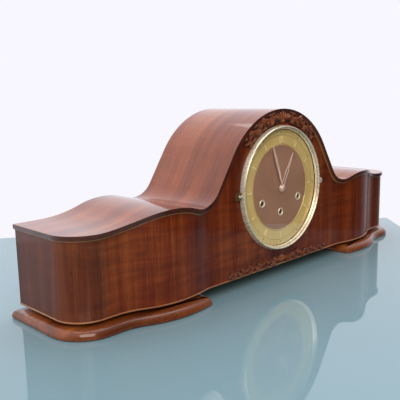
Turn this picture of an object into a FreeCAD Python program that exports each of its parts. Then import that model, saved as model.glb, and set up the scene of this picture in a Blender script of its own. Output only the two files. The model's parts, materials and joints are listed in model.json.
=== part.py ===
import FreeCAD, Part
import math
import os

import Sketcher
from FreeCAD import Vector

# A shelf clock with a humped case, three spring barrels and chime rods.
# X runs along the case, Y from the dial towards the back, Z up from the shelf.
# Angles in the dial plane are counted from +X towards +Z.

DIMENSIONS = {
    # case
    "case_length": 660,
    "case_depth": 127,
    "case_clearance": 15,
    "foot_back": 3,
    "crown_height": 231,
    "crown_radius": 119,
    "flank_angle": 57,
    "valley_radius": 34,
    "rise_angle": 19.5,
    "hump_radius": 114,
    "fall_angle": 19.3,
    "tail_radius": 161,
    "wing_height": 111,
    "cover_wall": 5,
    "cover_overhang": 2.5,
    "panel_wall": 12,
    "base_wall": 10,
    "back_wall": 8,
    "bead_width": 2,
    "bead_depth": 1,
    "front_flat": 140,
    "break_radius": 60,
    "bulge_angle": 14.25,
    "bulge_radius": 167,
    "sweep_angle": 26.1,
    "sweep_radius": 110,
    "return_radius": 81,
    "corner_radius": 36,
    # feet
    "foot_height": 11,
    "foot_offset": 10.5,
    "foot_forward": 2.5,
    "foot_start": 152,
    "foot_toe": 36,
    "riser_inset": 12,
    # carvings
    "carving_depth": 5.5,
    "carving_inner": 88,
    "carving_width": 17,
    "carving_sweep": 46,
    "apron_depth": 4,
    "apron_length": 212,
    "apron_height": 15,
    # dial
    "dial_height": 123.5,
    "dial_opening": 72,
    "dial_radius": 81,
    "dial_thickness": 1.2,
    "rebate_depth": 3,
    "ring_inner": 58.5,
    "ring_thickness": 0.8,
    "side_winding_x": 40,
    "side_winding_z": -17,
    "going_winding_z": -33.5,
    "winding_hole": 4,
    "eyelet_wall": 1.4,
    "post_radius": 2,
    # bezel
    "bezel_radius": 86,
    "bezel_inner": 82.5,
    "bezel_depth": 7,
    "glass_radius": 84.1,
    "glass_thickness": 1.6,
    "glass_dome": 3,
    "lug_reach": 9.5,
    "lug_width": 9,
    # hands
    "minute_length": 65,
    "hour_length": 53,
    "minute_angle": 110.4,
    "hour_angle": 61.7,
    "hand_thickness": 0.8,
    # rear door
    "door_half_width": 82,
    "door_bottom": 36,
    "door_shoulder": 110,
    "door_thickness": 6,
    "door_gap": 0.8,
    "hinge_height": 24,
    "hinge_pin": 1.2,
    # movement
    "plate_half_width": 62,
    "plate_below": 56,
    "plate_above": 62,
    "plate_thickness": 2,
    "front_plate_back": 17,
    "plate_gap": 36,
    "pillar_radius": 3.5,
    "arbor_radius": 1.5,
    "winding_radius": 3,
    "running_gap": 0.05,
    "barrel_radius": 18.5,
    "barrel_length": 24,
    "great_module": 0.57,
    "wheel_module": 0.5,
    "great_teeth": 72,
    "pinion_teeth": 8,
    "hammer_shaft_radius": 2,
    "hammer_pitch": 9,
    "rod_radius": 1.5,
    "rod_gap": 2,
    "hammer_reach": 38,
    "pendulum_length": 88,
    "bob_radius": 12,
}

doc = FreeCAD.newDocument("mantel_clock")
sheet = doc.addObject("Spreadsheet::Sheet", "dims")
for row, (alias, number) in enumerate(DIMENSIONS.items(), start=1):
    sheet.set(f"A{row}", alias)
    sheet.set(f"B{row}", str(number))
    sheet.setAlias(f"B{row}", alias)
doc.recompute()

sub_parts = {}


class Size:
    """A length kept both as a number and as the expression that the sheet evaluates."""

    def __init__(self, value, text):
        self.value = value
        self.text = text

    def __add__(self, other):
        other = as_size(other)
        return Size(self.value + other.value, f"({self.text} + {other.text})")

    def __sub__(self, other):
        other = as_size(other)
        return Size(self.value - other.value, f"({self.text} - {other.text})")

    def __rsub__(self, other):
        return as_size(other) - self

    def __mul__(self, factor):
        other = as_size(factor)
        return Size(self.value * other.value, f"({self.text} * {other.text})")

    def __neg__(self):
        return Size(-self.value, f"(0 - {self.text})")

    __radd__ = __add__
    __rmul__ = __mul__


def as_size(number):
    """Return a Size for a plain number or a Size."""
    if isinstance(number, Size):
        return number
    return Size(float(number), f"({float(number):.6f})")


def size(alias):
    """Return the named dimension of the sheet."""
    return Size(float(getattr(sheet, alias)), f"dims.{alias}")


def val(alias):
    """Return the named dimension as a plain number."""
    return float(getattr(sheet, alias))


def bind(obj, prop, amount):
    """Set a property from a Size, so that it follows the sheet."""
    obj.setExpression(prop, as_size(amount).text)


TURNS = {
    "z": FreeCAD.Rotation(),
    "y": FreeCAD.Rotation(Vector(1, 0, 0), -90),
    "x": FreeCAD.Rotation(Vector(0, 1, 0), 90),
}


def place(obj, at, rotation=None):
    """Turn an object, then bind its position to the sheet."""
    obj.Placement = FreeCAD.Placement(Vector(*[as_size(c).value for c in at]), rotation or FreeCAD.Rotation())
    for axis, amount in zip("xyz", at):
        bind(obj, f"Placement.Base.{axis}", amount)


def keep(name, obj):
    """Register an object as the finished sub-part called name."""
    obj.Label = name
    sub_parts[name] = obj
    return obj


def cylinder(name, radius, length, at, axis="y"):
    """A cylinder that starts at a point and runs along one axis."""
    obj = doc.addObject("Part::Cylinder", name)
    bind(obj, "Radius", radius)
    bind(obj, "Height", length)
    place(obj, at, TURNS[axis])
    return obj


def box(name, length, width, height, at):
    """A box with its low corner at a point."""
    obj = doc.addObject("Part::Box", name)
    bind(obj, "Length", length)
    bind(obj, "Width", width)
    bind(obj, "Height", height)
    place(obj, at)
    return obj


def shaped(name, shape):
    """A feature that holds a ready shape."""
    obj = doc.addObject("Part::Feature", name)
    obj.Shape = shape
    obj.Placement = FreeCAD.Placement()
    return obj


def fuse(name, pieces):
    """Join touching pieces into one solid."""
    obj = doc.addObject("Part::MultiFuse", name)
    obj.Shapes = pieces
    obj.Refine = True
    return obj


def cut(name, base, tools):
    """Take the tools away from the base."""
    obj = doc.addObject("Part::Cut", name)
    obj.Base = base
    obj.Tool = tools[0] if len(tools) == 1 else fuse(f"{name}_tools", tools)
    return obj


def group(name, pieces):
    """Hold separate solids in one sub-part."""
    obj = doc.addObject("Part::Compound", name)
    obj.Links = pieces
    return obj


def origin_plane(body, role):
    """Return one of a body's own origin planes."""
    return [feature for feature in body.Origin.OriginFeatures if feature.Role == role][0]


def polygon_sketch(body, name, corners):
    """Draw a closed outline on the XZ plane, with each corner bound to the sheet."""
    sketch = body.newObject("Sketcher::SketchObject", name)
    sketch.AttachmentSupport = [(origin_plane(body, "XZ_Plane"), "")]
    sketch.MapMode = "FlatFace"
    corners = [(as_size(u), as_size(v)) for u, v in corners]
    count = len(corners)
    for index in range(count):
        start = corners[index]
        end = corners[(index + 1) % count]
        first = Vector(start[0].value, start[1].value, 0)
        last = Vector(end[0].value, end[1].value, 0)
        line = Part.LineSegment(first, last)
        sketch.addGeometry(line, False)
    for index in range(count):
        sketch.addConstraint(Sketcher.Constraint("Coincident", index, 2, (index + 1) % count, 1))
    for index, (u, v) in enumerate(corners):
        across = sketch.addConstraint(Sketcher.Constraint("DistanceX", -1, 1, index, 1, u.value))
        sketch.setExpression(f"Constraints[{across}]", u.text)
        up = sketch.addConstraint(Sketcher.Constraint("DistanceY", -1, 1, index, 1, v.value))
        sketch.setExpression(f"Constraints[{up}]", v.text)
    return sketch


def turned(name, profile, at, axis="y"):
    """Revolve a profile of (radius, station) corners about an axis through a point."""
    body = doc.addObject("PartDesign::Body", name)
    sketch = polygon_sketch(body, f"{name}_profile", profile)
    revolution = body.newObject("PartDesign::Revolution", f"{name}_turning")
    revolution.Profile = sketch
    revolution.ReferenceAxis = (sketch, ["V_Axis"])
    revolution.Angle = 360
    place(body, at, TURNS[axis])
    return body


def plate(name, outline, thickness, at, angle=0):
    """Pad an (x, z) outline forward from a point, turned by an angle in the dial plane."""
    body = doc.addObject("PartDesign::Body", name)
    sketch = polygon_sketch(body, f"{name}_outline", outline)
    pad = body.newObject("PartDesign::Pad", f"{name}_pad")
    pad.Profile = sketch
    bind(pad, "Length", thickness)
    place(body, at, FreeCAD.Rotation(Vector(0, 1, 0), -angle))
    return body


# ---------------------------------------------------------------- outlines of the case

crest = Size(
    (val("break_radius") + val("bulge_radius")) * (1 - math.cos(math.radians(val("bulge_angle")))),
    "((dims.break_radius + dims.bulge_radius) * (1 - cos(dims.bulge_angle * 1 deg)))",
)
foot_reach = size("foot_offset") + size("foot_forward") - size("foot_back")
case_back = (size("case_depth") + crest + foot_reach) * 0.5
front = case_back - size("case_depth")
FRONT = front.value
BACK = case_back.value
HALF = val("case_length") / 2
dial_height = size("dial_height")
case_foot = val("case_clearance")
CORNER_START = HALF - val("corner_radius")
PANEL_SEAM = CORNER_START - 6
FAR = 1000


def chain(start, heading, moves, offset):
    """Follow lines and tangent arcs, shifted sideways by an offset to the left, and return edges and end."""
    turn = math.radians(heading)
    x = start[0] - offset * math.sin(turn)
    y = start[1] + offset * math.cos(turn)
    edges = []
    for kind, amount, degrees in moves:
        if kind == "line":
            end = (x + amount * math.cos(turn), y + amount * math.sin(turn))
            edges.append(((x, y), None, end))
        else:
            side = math.copysign(1, degrees)
            radius = amount - side * offset
            centre = (x - side * radius * math.sin(turn), y + side * radius * math.cos(turn))
            points = []
            for share in (0.5, 1.0):
                angle = turn + math.radians(degrees) * share
                along = centre[0] + side * radius * math.sin(angle)
                points.append((along, centre[1] - side * radius * math.cos(angle)))
            edges.append(((x, y), points[0], points[1]))
            end = points[1]
            turn += math.radians(degrees)
        x, y = end
    return edges, (x, y)


def curve_edges(edges, to_space, mirror=False):
    """Turn chained spans into straight edges and arcs in space."""
    made = []
    for start, middle, end in edges:
        points = [point for point in (start, middle, end) if point is not None]
        points = [to_space(-point[0] if mirror else point[0], point[1]) for point in points]
        if len(points) == 2:
            made.append(Part.LineSegment(*points).toShape())
        else:
            made.append(Part.Arc(*points).toShape())
    return made


def hat_moves():
    """The right half of the hat outline, from the crown's top to the end of the wing."""
    flank = math.radians(val("flank_angle"))
    rise = math.radians(val("rise_angle"))
    fall = math.radians(val("fall_angle"))
    drop = val("crown_radius") * (1 - math.cos(flank))
    drop += val("valley_radius") * (math.cos(rise) - math.cos(flank))
    drop += val("hump_radius") * (math.cos(rise) - math.cos(fall))
    drop += val("tail_radius") * (1 - math.cos(fall))
    length = (val("crown_height") - val("wing_height") - drop) / math.sin(flank)
    return [
        ("arc", val("crown_radius"), -val("flank_angle")),
        ("line", length, 0),
        ("arc", val("valley_radius"), val("flank_angle") + val("rise_angle")),
        ("arc", val("hump_radius"), -val("rise_angle") - val("fall_angle")),
        ("arc", val("tail_radius"), val("fall_angle")),
    ]


def hat_prism(inset, near, far, half=FAR):
    """The space under the hat outline, moved inwards by an inset, between two depths."""
    def to_space(x, z):
        return Vector(x, near, z)

    edges, end = chain((0, val("crown_height")), 0, hat_moves(), -inset)
    edges.append((end, None, (half, end[1])))
    wire = curve_edges(edges, to_space) + curve_edges(edges, to_space, mirror=True)
    corners = [to_space(half, end[1]), to_space(half, -FAR), to_space(-half, -FAR), to_space(-half, end[1])]
    for first, second in zip(corners, corners[1:]):
        wire.append(Part.LineSegment(first, second).toShape())
    face = Part.Face(Part.Wire(Part.__sortEdges__(wire)))
    return face.extrude(Vector(0, far - near, 0))


def plan_moves():
    """The right half of the front's plan, from the middle to the side."""
    gap = CORNER_START - val("front_flat")
    bulge = math.radians(val("bulge_angle"))
    sweep = math.radians(val("sweep_angle"))
    gap -= (val("break_radius") + val("bulge_radius")) * math.sin(bulge)
    gap -= (val("sweep_radius") + val("return_radius")) * math.sin(sweep)
    return [
        ("line", val("front_flat"), 0),
        ("arc", val("break_radius"), val("bulge_angle")),
        ("arc", val("bulge_radius"), -val("bulge_angle")),
        ("arc", val("sweep_radius"), -val("sweep_angle")),
        ("arc", val("return_radius"), val("sweep_angle")),
        ("line", gap, 0),
        ("arc", val("corner_radius"), -90),
    ]


def plan_prism(offset, low, high, forward=0, back=BACK):
    """The space inside the case's plan, moved outwards by an offset, between two heights."""
    def to_space(x, reach):
        return Vector(x, FRONT - forward - reach, low)

    edges, end = chain((0, 0), 0, plan_moves(), offset)
    wire = curve_edges(edges, to_space) + curve_edges(edges, to_space, mirror=True)
    right = to_space(*end)
    left = to_space(-end[0], end[1])
    corners = [right, Vector(right.x, back, low), Vector(left.x, back, low), left]
    for first, second in zip(corners, corners[1:]):
        wire.append(Part.LineSegment(first, second).toShape())
    face = Part.Face(Part.Wire(Part.__sortEdges__(wire)))
    return face.extrude(Vector(0, 0, high - low))


def slab(low_x, high_x, low_y=-FAR, high_y=FAR, low_z=-FAR, high_z=FAR):
    """A block between limits."""
    corner = Vector(low_x, low_y, low_z)
    return Part.makeBox(high_x - low_x, high_y - low_y, high_z - low_z, corner)


def skin(outside, inside, low, high, back=BACK):
    """The wall between two offsets of the plan, at the front and the sides."""
    outer = plan_prism(outside, low, high, back=back)
    return outer.cut(plan_prism(inside, low - 1, high + 1, back=back + 1))


def disc(radius, near, far, x=0.0, z=0.0):
    """A round block along Y, placed from the dial's centre."""
    return Part.makeCylinder(radius, far - near, Vector(x, near, val("dial_height") + z), Vector(0, 1, 0))


# ---------------------------------------------------------------- case

def make_case():
    """The wooden shell: front, ends, top, floor, back and the two fine beads."""
    wall = val("panel_wall")
    top = val("crown_height")
    under_cover = hat_prism(val("cover_wall"), -FAR, FAR)
    walls = skin(0, -wall, case_foot, top).common(under_cover)

    panel = walls.common(slab(-PANEL_SEAM, PANEL_SEAM))
    panel = panel.cut(disc(val("dial_opening"), FRONT - 1, FRONT + wall + 1))
    rebate = disc(val("dial_radius") + 0.5, FRONT - 1, FRONT + val("rebate_depth"))
    keep("front_panel", shaped("front_panel", panel.cut(rebate)))
    keep("right_end_panel", shaped("right_end_panel", walls.common(slab(PANEL_SEAM, FAR))))
    keep("left_end_panel", shaped("left_end_panel", walls.common(slab(-FAR, -PANEL_SEAM))))

    overhang = plan_prism(val("cover_overhang"), case_foot, top)
    cover = hat_prism(0, -FAR, FAR).cut(under_cover).common(overhang)
    keep("cover_shell", shaped("cover_shell", cover))

    bead = under_cover.cut(hat_prism(val("cover_wall") + val("bead_width"), -FAR, FAR))
    bead = bead.common(skin(val("bead_depth"), 0, case_foot, top))
    keep("cover_bead", shaped("cover_bead", bead))
    base_bead = skin(val("bead_depth"), 0, case_foot, case_foot + val("bead_width"))
    keep("base_bead", shaped("base_bead", base_bead))

    inner_back = BACK - val("back_wall")
    floor = plan_prism(-wall, case_foot, case_foot + val("base_wall"), back=inner_back)
    keep("base_board", shaped("base_board", floor))

    back = hat_prism(val("cover_wall"), inner_back, BACK)
    back = back.common(slab(wall - HALF, HALF - wall, low_z=case_foot))
    keep("back_frame", shaped("back_frame", back.cut(door_blank(val("door_gap"), inner_back - 1, BACK + 1))))


def door_blank(gap, near, far):
    """The arched outline of the rear door, grown by a gap."""
    half = val("door_half_width") + gap
    low = val("door_bottom") - gap
    shoulder = val("door_shoulder")
    left = Part.LineSegment(Vector(-half, near, low), Vector(-half, near, shoulder))
    crown = Vector(0, near, shoulder + half)
    arch = Part.Arc(Vector(-half, near, shoulder), crown, Vector(half, near, shoulder))
    right = Part.LineSegment(Vector(half, near, shoulder), Vector(half, near, low))
    sill = Part.LineSegment(Vector(half, near, low), Vector(-half, near, low))
    wire = Part.Wire([edge.toShape() for edge in (left, arch, right, sill)])
    return Part.Face(wire).extrude(Vector(0, far - near, 0))


def make_foot(name, side):
    """A plinth under one wing: a broad slab that follows the front, and a set-back riser."""
    start = val("foot_start")
    back = BACK + val("foot_back")
    half = slab(start, FAR) if side > 0 else slab(-FAR, -start)
    sole = plan_prism(val("foot_offset"), 0, val("foot_height"), val("foot_forward"), back).common(half)
    toes = [edge for edge in sole.Edges if edge.BoundBox.XLength < 0.01 and edge.BoundBox.YLength < 0.01]
    toes = [edge for edge in toes if abs(abs(edge.CenterOfMass.x) - start) < 0.01]
    sole = sole.makeFillet(val("foot_toe"), toes)
    inner = start + val("riser_inset")
    set_back = slab(inner, FAR) if side > 0 else slab(-FAR, -inner)
    riser = plan_prism(-val("riser_inset"), val("foot_height"), case_foot, back=BACK - val("riser_inset"))
    keep(name, shaped(name, sole.fuse(riser.common(set_back)).removeSplitter()))


def make_carvings():
    """Two applied carvings: a crescent of scrolls over the dial and a scalloped apron under it."""
    near = FRONT - val("carving_depth")
    inner = val("carving_inner")
    width = val("carving_width")
    middle = inner + width / 2
    sweep = val("carving_sweep")
    crescent = disc(inner + width, near, FRONT).cut(disc(inner, near - 1, FRONT + 1))
    wedge = Part.makeCylinder(FAR, FAR, Vector(0, -FAR / 2, val("dial_height")), Vector(0, 1, 0), 2 * sweep)
    wedge.rotate(Vector(0, 0, val("dial_height")), Vector(0, 1, 0), sector_start(wedge))
    crescent = crescent.common(wedge)
    for side in (-1, 1):
        angle = math.radians(90 + side * sweep)
        roll = disc(width / 2, near, FRONT, middle * math.cos(angle), middle * math.sin(angle))
        crescent = crescent.fuse(roll)
    under_cover = hat_prism(val("cover_wall") + val("bead_width") + 0.2, -FAR, FAR)
    proud = hat_prism(0.5, -FAR, FRONT - val("cover_overhang") - 0.1)
    crescent = crescent.common(under_cover.fuse(proud))
    keep("top_carving", shaped("top_carving", crescent.removeSplitter()))

    near = FRONT - val("apron_depth")
    half = val("apron_length") / 2
    low = case_foot + val("bead_width") + val("bead_depth") - 1
    high = low + val("apron_height")
    apron = slab(-half, half, near, FRONT - val("bead_depth"), low, high)
    lobes = 9
    radius = val("apron_height") * 0.55
    for index in range(lobes):
        x = -half + 2 * half * index / (lobes - 1)
        z = low + radius - val("apron_depth") + 1.5 - val("dial_height")
        apron = apron.fuse(disc(radius, near, FRONT - val("bead_depth"), x, z))
    backing = slab(-half, half, near + 1, FRONT, case_foot + val("bead_width"), high)
    keep("apron_carving", shaped("apron_carving", apron.fuse(backing).removeSplitter()))


def sector_start(wedge):
    """The turn about Y that brings the middle of a sector to the top."""
    middle = wedge.CenterOfMass
    now = math.degrees(math.atan2(middle.z - val("dial_height"), middle.x))
    return now - 90


# ---------------------------------------------------------------- dial

WINDING_POINTS = {
    "going": (as_size(0), size("going_winding_z")),
    "chime": (size("side_winding_x"), size("side_winding_z")),
    "strike": (-size("side_winding_x"), size("side_winding_z")),
}


def at_dial(x, depth, z):
    """A place given from the dial's centre and the wooden front."""
    return (x, front + depth, dial_height + z)


def ring(name, outer, inner, thickness, at):
    """A flat ring about an axis along Y."""
    profile = [(inner, 0), (outer, 0), (outer, thickness), (inner, thickness)]
    return turned(name, profile, at)


def make_dial():
    """The dial sheet with its feet, the chapter ring, the middle disc and the eyelets."""
    rebate = size("rebate_depth")
    sheet_depth = rebate - size("dial_thickness")
    hole = size("winding_hole") + size("eyelet_wall")
    pipe_hole = size("winding_hole")
    blank = cylinder("dial_blank", size("dial_radius"), size("dial_thickness"), at_dial(0, sheet_depth, 0))
    feet = []
    reach = size("front_plate_back") - size("plate_thickness") - rebate
    for index, (side, level) in enumerate(((-1, -1), (1, -1), (1, 1), (-1, 1))):
        x = (size("plate_half_width") - 14) * side
        z = 44 * level
        feet.append(cylinder(f"dial_foot_{index}", size("post_radius"), reach, at_dial(x, rebate, z)))
    drills = []
    disc_drills = []
    for train, (x, z) in WINDING_POINTS.items():
        drills.append(cylinder(f"{train}_dial_drill", hole, 6, at_dial(x, -1, z)))
        disc_drills.append(cylinder(f"{train}_disc_drill", hole, 6, at_dial(x, -1, z)))
    drills.append(cylinder("dial_pipe_drill", pipe_hole, 6, at_dial(0, -1, 0)))
    disc_drills.append(cylinder("disc_pipe_drill", pipe_hole, 6, at_dial(0, -1, 0)))
    keep("dial_plate", cut("dial_plate", fuse("dial_blank_with_feet", [blank] + feet), drills))

    thickness = size("ring_thickness")
    ring_at = at_dial(0, sheet_depth - thickness, 0)
    outer = size("dial_radius") - 1
    keep("chapter_ring", ring("chapter_ring", outer, size("ring_inner"), thickness, ring_at))
    disc_at = at_dial(0, sheet_depth - thickness * 0.6, 0)
    middle = cylinder("disc_blank", size("ring_inner") - 0.1, thickness * 0.6, disc_at)
    keep("centre_disc", cut("centre_disc", middle, disc_drills))

    eyelets = []
    for train, (x, z) in WINDING_POINTS.items():
        place_at = at_dial(x, sheet_depth - thickness, z)
        length = thickness + size("dial_thickness")
        eyelets.append(ring(f"{train}_eyelet", hole, size("winding_hole"), length, place_at))
    keep("winding_eyelets", group("winding_eyelets", eyelets))


HINGE_GAP = 3.2
HINGE_RADIUS = 2.2
BEZEL_CLEARANCE = 0.2
bezel_axis_x = -(size("bezel_radius") + HINGE_GAP)
KNUCKLE = 3.2
LEAF_REACH = 5.5


def make_bezel():
    """The hinged bezel with its glass and thumb lug, and the hinge at its left side."""
    depth = size("bezel_depth")
    start = -(depth + BEZEL_CLEARANCE)
    outer = size("bezel_radius")
    inner = size("bezel_inner")
    seat = size("glass_radius") + 0.1
    profile = [
        (inner, 1.2), (inner + 0.8, 0), (outer - 1.4, 0), (outer, 2.6),
        (outer, depth), (seat, depth), (seat, 2.8), (inner, 2.8),
    ]
    hoop = turned("bezel_hoop", profile, at_dial(0, start, 0))
    axis_depth = -3.0
    knuckle_at = at_dial(bezel_axis_x, axis_depth, -KNUCKLE / 2 + 0.1)
    knuckle = cylinder("bezel_knuckle", HINGE_RADIUS, KNUCKLE - 0.2, knuckle_at, "z")
    tab_at = at_dial(bezel_axis_x, axis_depth - 1, -KNUCKLE / 2 + 0.1)
    tab = box("bezel_tab", HINGE_GAP + 1, 2, KNUCKLE - 0.2, tab_at)
    bore_at = at_dial(bezel_axis_x, axis_depth, -KNUCKLE)
    bore = cylinder("bezel_knuckle_bore", size("running_gap") + 0.8, 2 * KNUCKLE, bore_at, "z")
    keep("bezel", cut("bezel", fuse("bezel_blank", [hoop, tab, knuckle]), [bore]))

    lug_blank = box("lug_blank", size("lug_reach") + 4, 3, size("lug_width"),
                    at_dial(outer - 4, start + 2.4, size("lug_width") * -0.5))
    lug_trim = cylinder("lug_trim", outer, 20, at_dial(0, -15, 0))
    keep("bezel_lug", cut("bezel_lug", lug_blank, [lug_trim]))

    steps = 10
    clear = val("bezel_inner") - 0.5
    back_face = []
    front_face = []
    for index in range(steps + 1):
        radius = clear * index / steps
        rise = val("glass_dome") * (1 - (radius / clear) ** 2)
        back_face.append((radius, val("glass_thickness") - rise))
        front_face.append((radius, -rise))
    edge = [(size("glass_radius"), size("glass_thickness")), (size("glass_radius"), 0)]
    profile = back_face + edge + front_face[::-1]
    keep("bezel_glass", turned("bezel_glass", profile, at_dial(0, start + 2.8, 0)))

    leaves = []
    for index, low in enumerate((-1.5 * KNUCKLE, 0.5 * KNUCKLE)):
        at = at_dial(bezel_axis_x, axis_depth, low)
        leaves.append(cylinder(f"bezel_fixed_knuckle_{index}", HINGE_RADIUS, KNUCKLE, at, "z"))
        bridge_at = at_dial(bezel_axis_x - HINGE_RADIUS, axis_depth, low)
        leaves.append(box(f"bezel_bridge_{index}", HINGE_RADIUS, 3, KNUCKLE, bridge_at))
    leaf_at = at_dial(bezel_axis_x - LEAF_REACH, -1, -1.5 * KNUCKLE)
    leaves.append(box("bezel_leaf", LEAF_REACH - HINGE_RADIUS, 1, 3 * KNUCKLE, leaf_at))
    pin_at = at_dial(bezel_axis_x, axis_depth, -1.5 * KNUCKLE)
    drill = cylinder("bezel_leaf_bore", 0.8, 3 * KNUCKLE, pin_at, "z")
    keep("bezel_hinge_leaf", cut("bezel_hinge_leaf", fuse("bezel_leaf_blank", leaves), [drill]))
    keep("bezel_hinge_pin", cylinder("bezel_hinge_pin", 0.8, 3 * KNUCKLE, pin_at, "z"))


# ---------------------------------------------------------------- hands

HOUR_DEPTH = -0.8
MINUTE_DEPTH = -2.8
CANNON_RADIUS = 2.5
HOUR_PIPE_RADIUS = 3.4


def hand_outline(length, boss, waist, belly):
    """The right side and then the left side of a slim sword-shaped hand."""
    side = [
        (boss, 0 - boss * 0.5),
        (boss, boss),
        (waist, length * 0.16),
        (belly, length * 0.42),
        (waist, length * 0.8),
    ]
    other = [(-as_size(x), z) for x, z in side[::-1]]
    tail = [(-boss * 0.5, 0 - boss), (boss * 0.5, 0 - boss)]
    return side + [(0, length)] + other + tail


def make_hands():
    """The two hands and the nut in front of them."""
    thickness = size("hand_thickness")
    for name, length, depth, bore, boss in (
        ("minute_hand", size("minute_length"), MINUTE_DEPTH, CANNON_RADIUS, 4.5),
        ("hour_hand", size("hour_length"), HOUR_DEPTH, HOUR_PIPE_RADIUS, 5.5),
    ):
        angle = val(name.replace("hand", "angle")) - 90
        at = at_dial(0, depth, 0)
        blade = plate(f"{name}_blade", hand_outline(length, boss, 1.2, 2.6), thickness, at, angle)
        drill = cylinder(f"{name}_bore", bore, 4, at_dial(0, depth - 2, 0))
        keep(name, cut(name, blade, [drill]))
    nut_at = at_dial(0, MINUTE_DEPTH - thickness - 1.2, 0)
    keep("hand_nut", ring("hand_nut", 3.2, size("arbor_radius"), 1.2, nut_at))


# ---------------------------------------------------------------- wheels

def gear_shape(teeth, module, near, far, x, z, phase, bore):
    """A toothed wheel about an axis along Y, with a tooth at the phase angle."""
    pitch = 2 * math.pi / teeth
    radius = module * teeth / 2
    root = radius - 1.15 * module
    tip = radius + 0.75 * module
    height = val("dial_height") + z
    points = []
    for tooth in range(teeth):
        middle = math.radians(phase) + tooth * pitch
        for reach, share in ((root, -0.18), (tip, -0.06), (tip, 0.06), (root, 0.18)):
            angle = middle + share * pitch
            points.append(Vector(x + reach * math.cos(angle), near, height + reach * math.sin(angle)))
    wheel = Part.Face(Part.makePolygon(points + points[:1])).extrude(Vector(0, far - near, 0))
    if bore:
        wheel = wheel.cut(disc(bore, near - 1, far + 1, x, z))
    return wheel


def mesh_phase(teeth, phase, partner_teeth, direction):
    """The partner's phase angle that sets its gap against this wheel's tooth."""
    pitch = 360 / teeth
    partner_pitch = 360 / partner_teeth
    return direction + 180 - partner_pitch * (0.5 + (phase - direction) / pitch)


def step_from(point, distance, direction):
    """The point at a distance and direction from another, in the dial plane."""
    angle = math.radians(direction)
    return (point[0] + distance * math.cos(angle), point[1] + distance * math.sin(angle))


def bearing(start, end):
    """The direction from one point to another, in the dial plane."""
    return math.degrees(math.atan2(end[1] - start[1], end[0] - start[0]))


PINION = int(val("pinion_teeth"))
GREAT = int(val("great_teeth"))
GREAT_REACH = val("great_module") * (GREAT + PINION) / 2
CENTRE = (0.0, 0.0)
GOING = (0.0, val("going_winding_z"))
CHIME = (val("side_winding_x"), val("side_winding_z"))
STRIKE = (-val("side_winding_x"), val("side_winding_z"))
CENTRE_PINION = 10
INTERMEDIATE_TEETH = 60
INTERMEDIATE_REACH = val("wheel_module") * (INTERMEDIATE_TEETH + CENTRE_PINION) / 2


def meeting_point(first, first_reach, second, second_reach):
    """The right-hand point at given distances from two others."""
    gap = math.hypot(second[0] - first[0], second[1] - first[1])
    along = (first_reach ** 2 - second_reach ** 2 + gap ** 2) / (2 * gap)
    aside = math.sqrt(first_reach ** 2 - along ** 2)
    direction = bearing(first, second)
    foot = step_from(first, along, direction)
    return step_from(foot, aside, direction - 90)


INTERMEDIATE = meeting_point(GOING, GREAT_REACH, CENTRE, INTERMEDIATE_REACH)
CENTRE_TEETH = 56
THIRD_TEETH = 60
THIRD_MODULE = 0.45
THIRD = step_from(CENTRE, val("wheel_module") * (CENTRE_TEETH + PINION) / 2, 132)
ESCAPE_REACH = THIRD_MODULE * (THIRD_TEETH + PINION) / 2
ESCAPE = (0.0, THIRD[1] + math.sqrt(ESCAPE_REACH ** 2 - THIRD[0] ** 2))
ESCAPE_RADIUS = 12
ANCHOR = (0.0, ESCAPE[1] + 17)
CHIME_SECOND = step_from(CHIME, GREAT_REACH, 80)
DRUM_TEETH = 32
DRUM_MODULE = 0.95
DRUM = step_from(CHIME_SECOND, DRUM_MODULE * DRUM_TEETH, -109.7)
MOTION_REACH = 12
CANNON_TEETH = 12
MINUTE_WHEEL_TEETH = 36
MINUTE_PINION = 10
HOUR_TEETH = 40
MINUTE_STUD = step_from(CENTRE, MOTION_REACH, 30)
HAMMER_AXIS = (54.0, -34.0)

PLATE_BACK = val("front_plate_back")
REAR_PLATE = PLATE_BACK + val("plate_gap")
REAR_FACE = REAR_PLATE + val("plate_thickness")
ARBOR = val("arbor_radius")
GAP = val("running_gap")


def solid_of(pieces):
    """Join shapes that touch into one clean solid."""
    joined = pieces[0]
    for piece in pieces[1:]:
        joined = joined.fuse(piece)
    return joined.removeSplitter()


def rod(radius, start, end, point):
    """A round rod along Y between two depths behind the wooden front."""
    return disc(radius, FRONT + start, FRONT + end, *point)


def gear(teeth, module, start, end, point, phase, bore=0.0):
    """A toothed wheel between two depths behind the wooden front."""
    return gear_shape(teeth, module, FRONT + start, FRONT + end, point[0], point[1], phase, bore)


def make_barrel(train, point, phase):
    """A spring barrel with its great wheel, and the arbor that winds it."""
    start = PLATE_BACK + 5
    end = start + val("barrel_length")
    hole = val("winding_radius") + GAP
    wall = 1.0
    drum = rod(val("barrel_radius"), start, end + wall, point)
    drum = drum.cut(rod(val("barrel_radius") - wall, start + wall, end, point))
    drum = drum.cut(rod(hole, start - 1, end + 5, point))
    great = gear(GREAT, val("great_module"), end + wall, end + wall + 2, point, phase, hole)
    keep(f"{train}_barrel", shaped(f"{train}_barrel", solid_of([drum, great])))
    shaft = rod(val("winding_radius"), 6, REAR_FACE, point)
    square = 2.0
    height = val("dial_height") + point[1]
    left = point[0] - square
    right = point[0] + square
    key_end = slab(left, right, FRONT + 2, FRONT + 6, height - square, height + square)
    keep(f"{train}_winding_arbor", shaped(f"{train}_winding_arbor", solid_of([shaft, key_end])))


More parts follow.
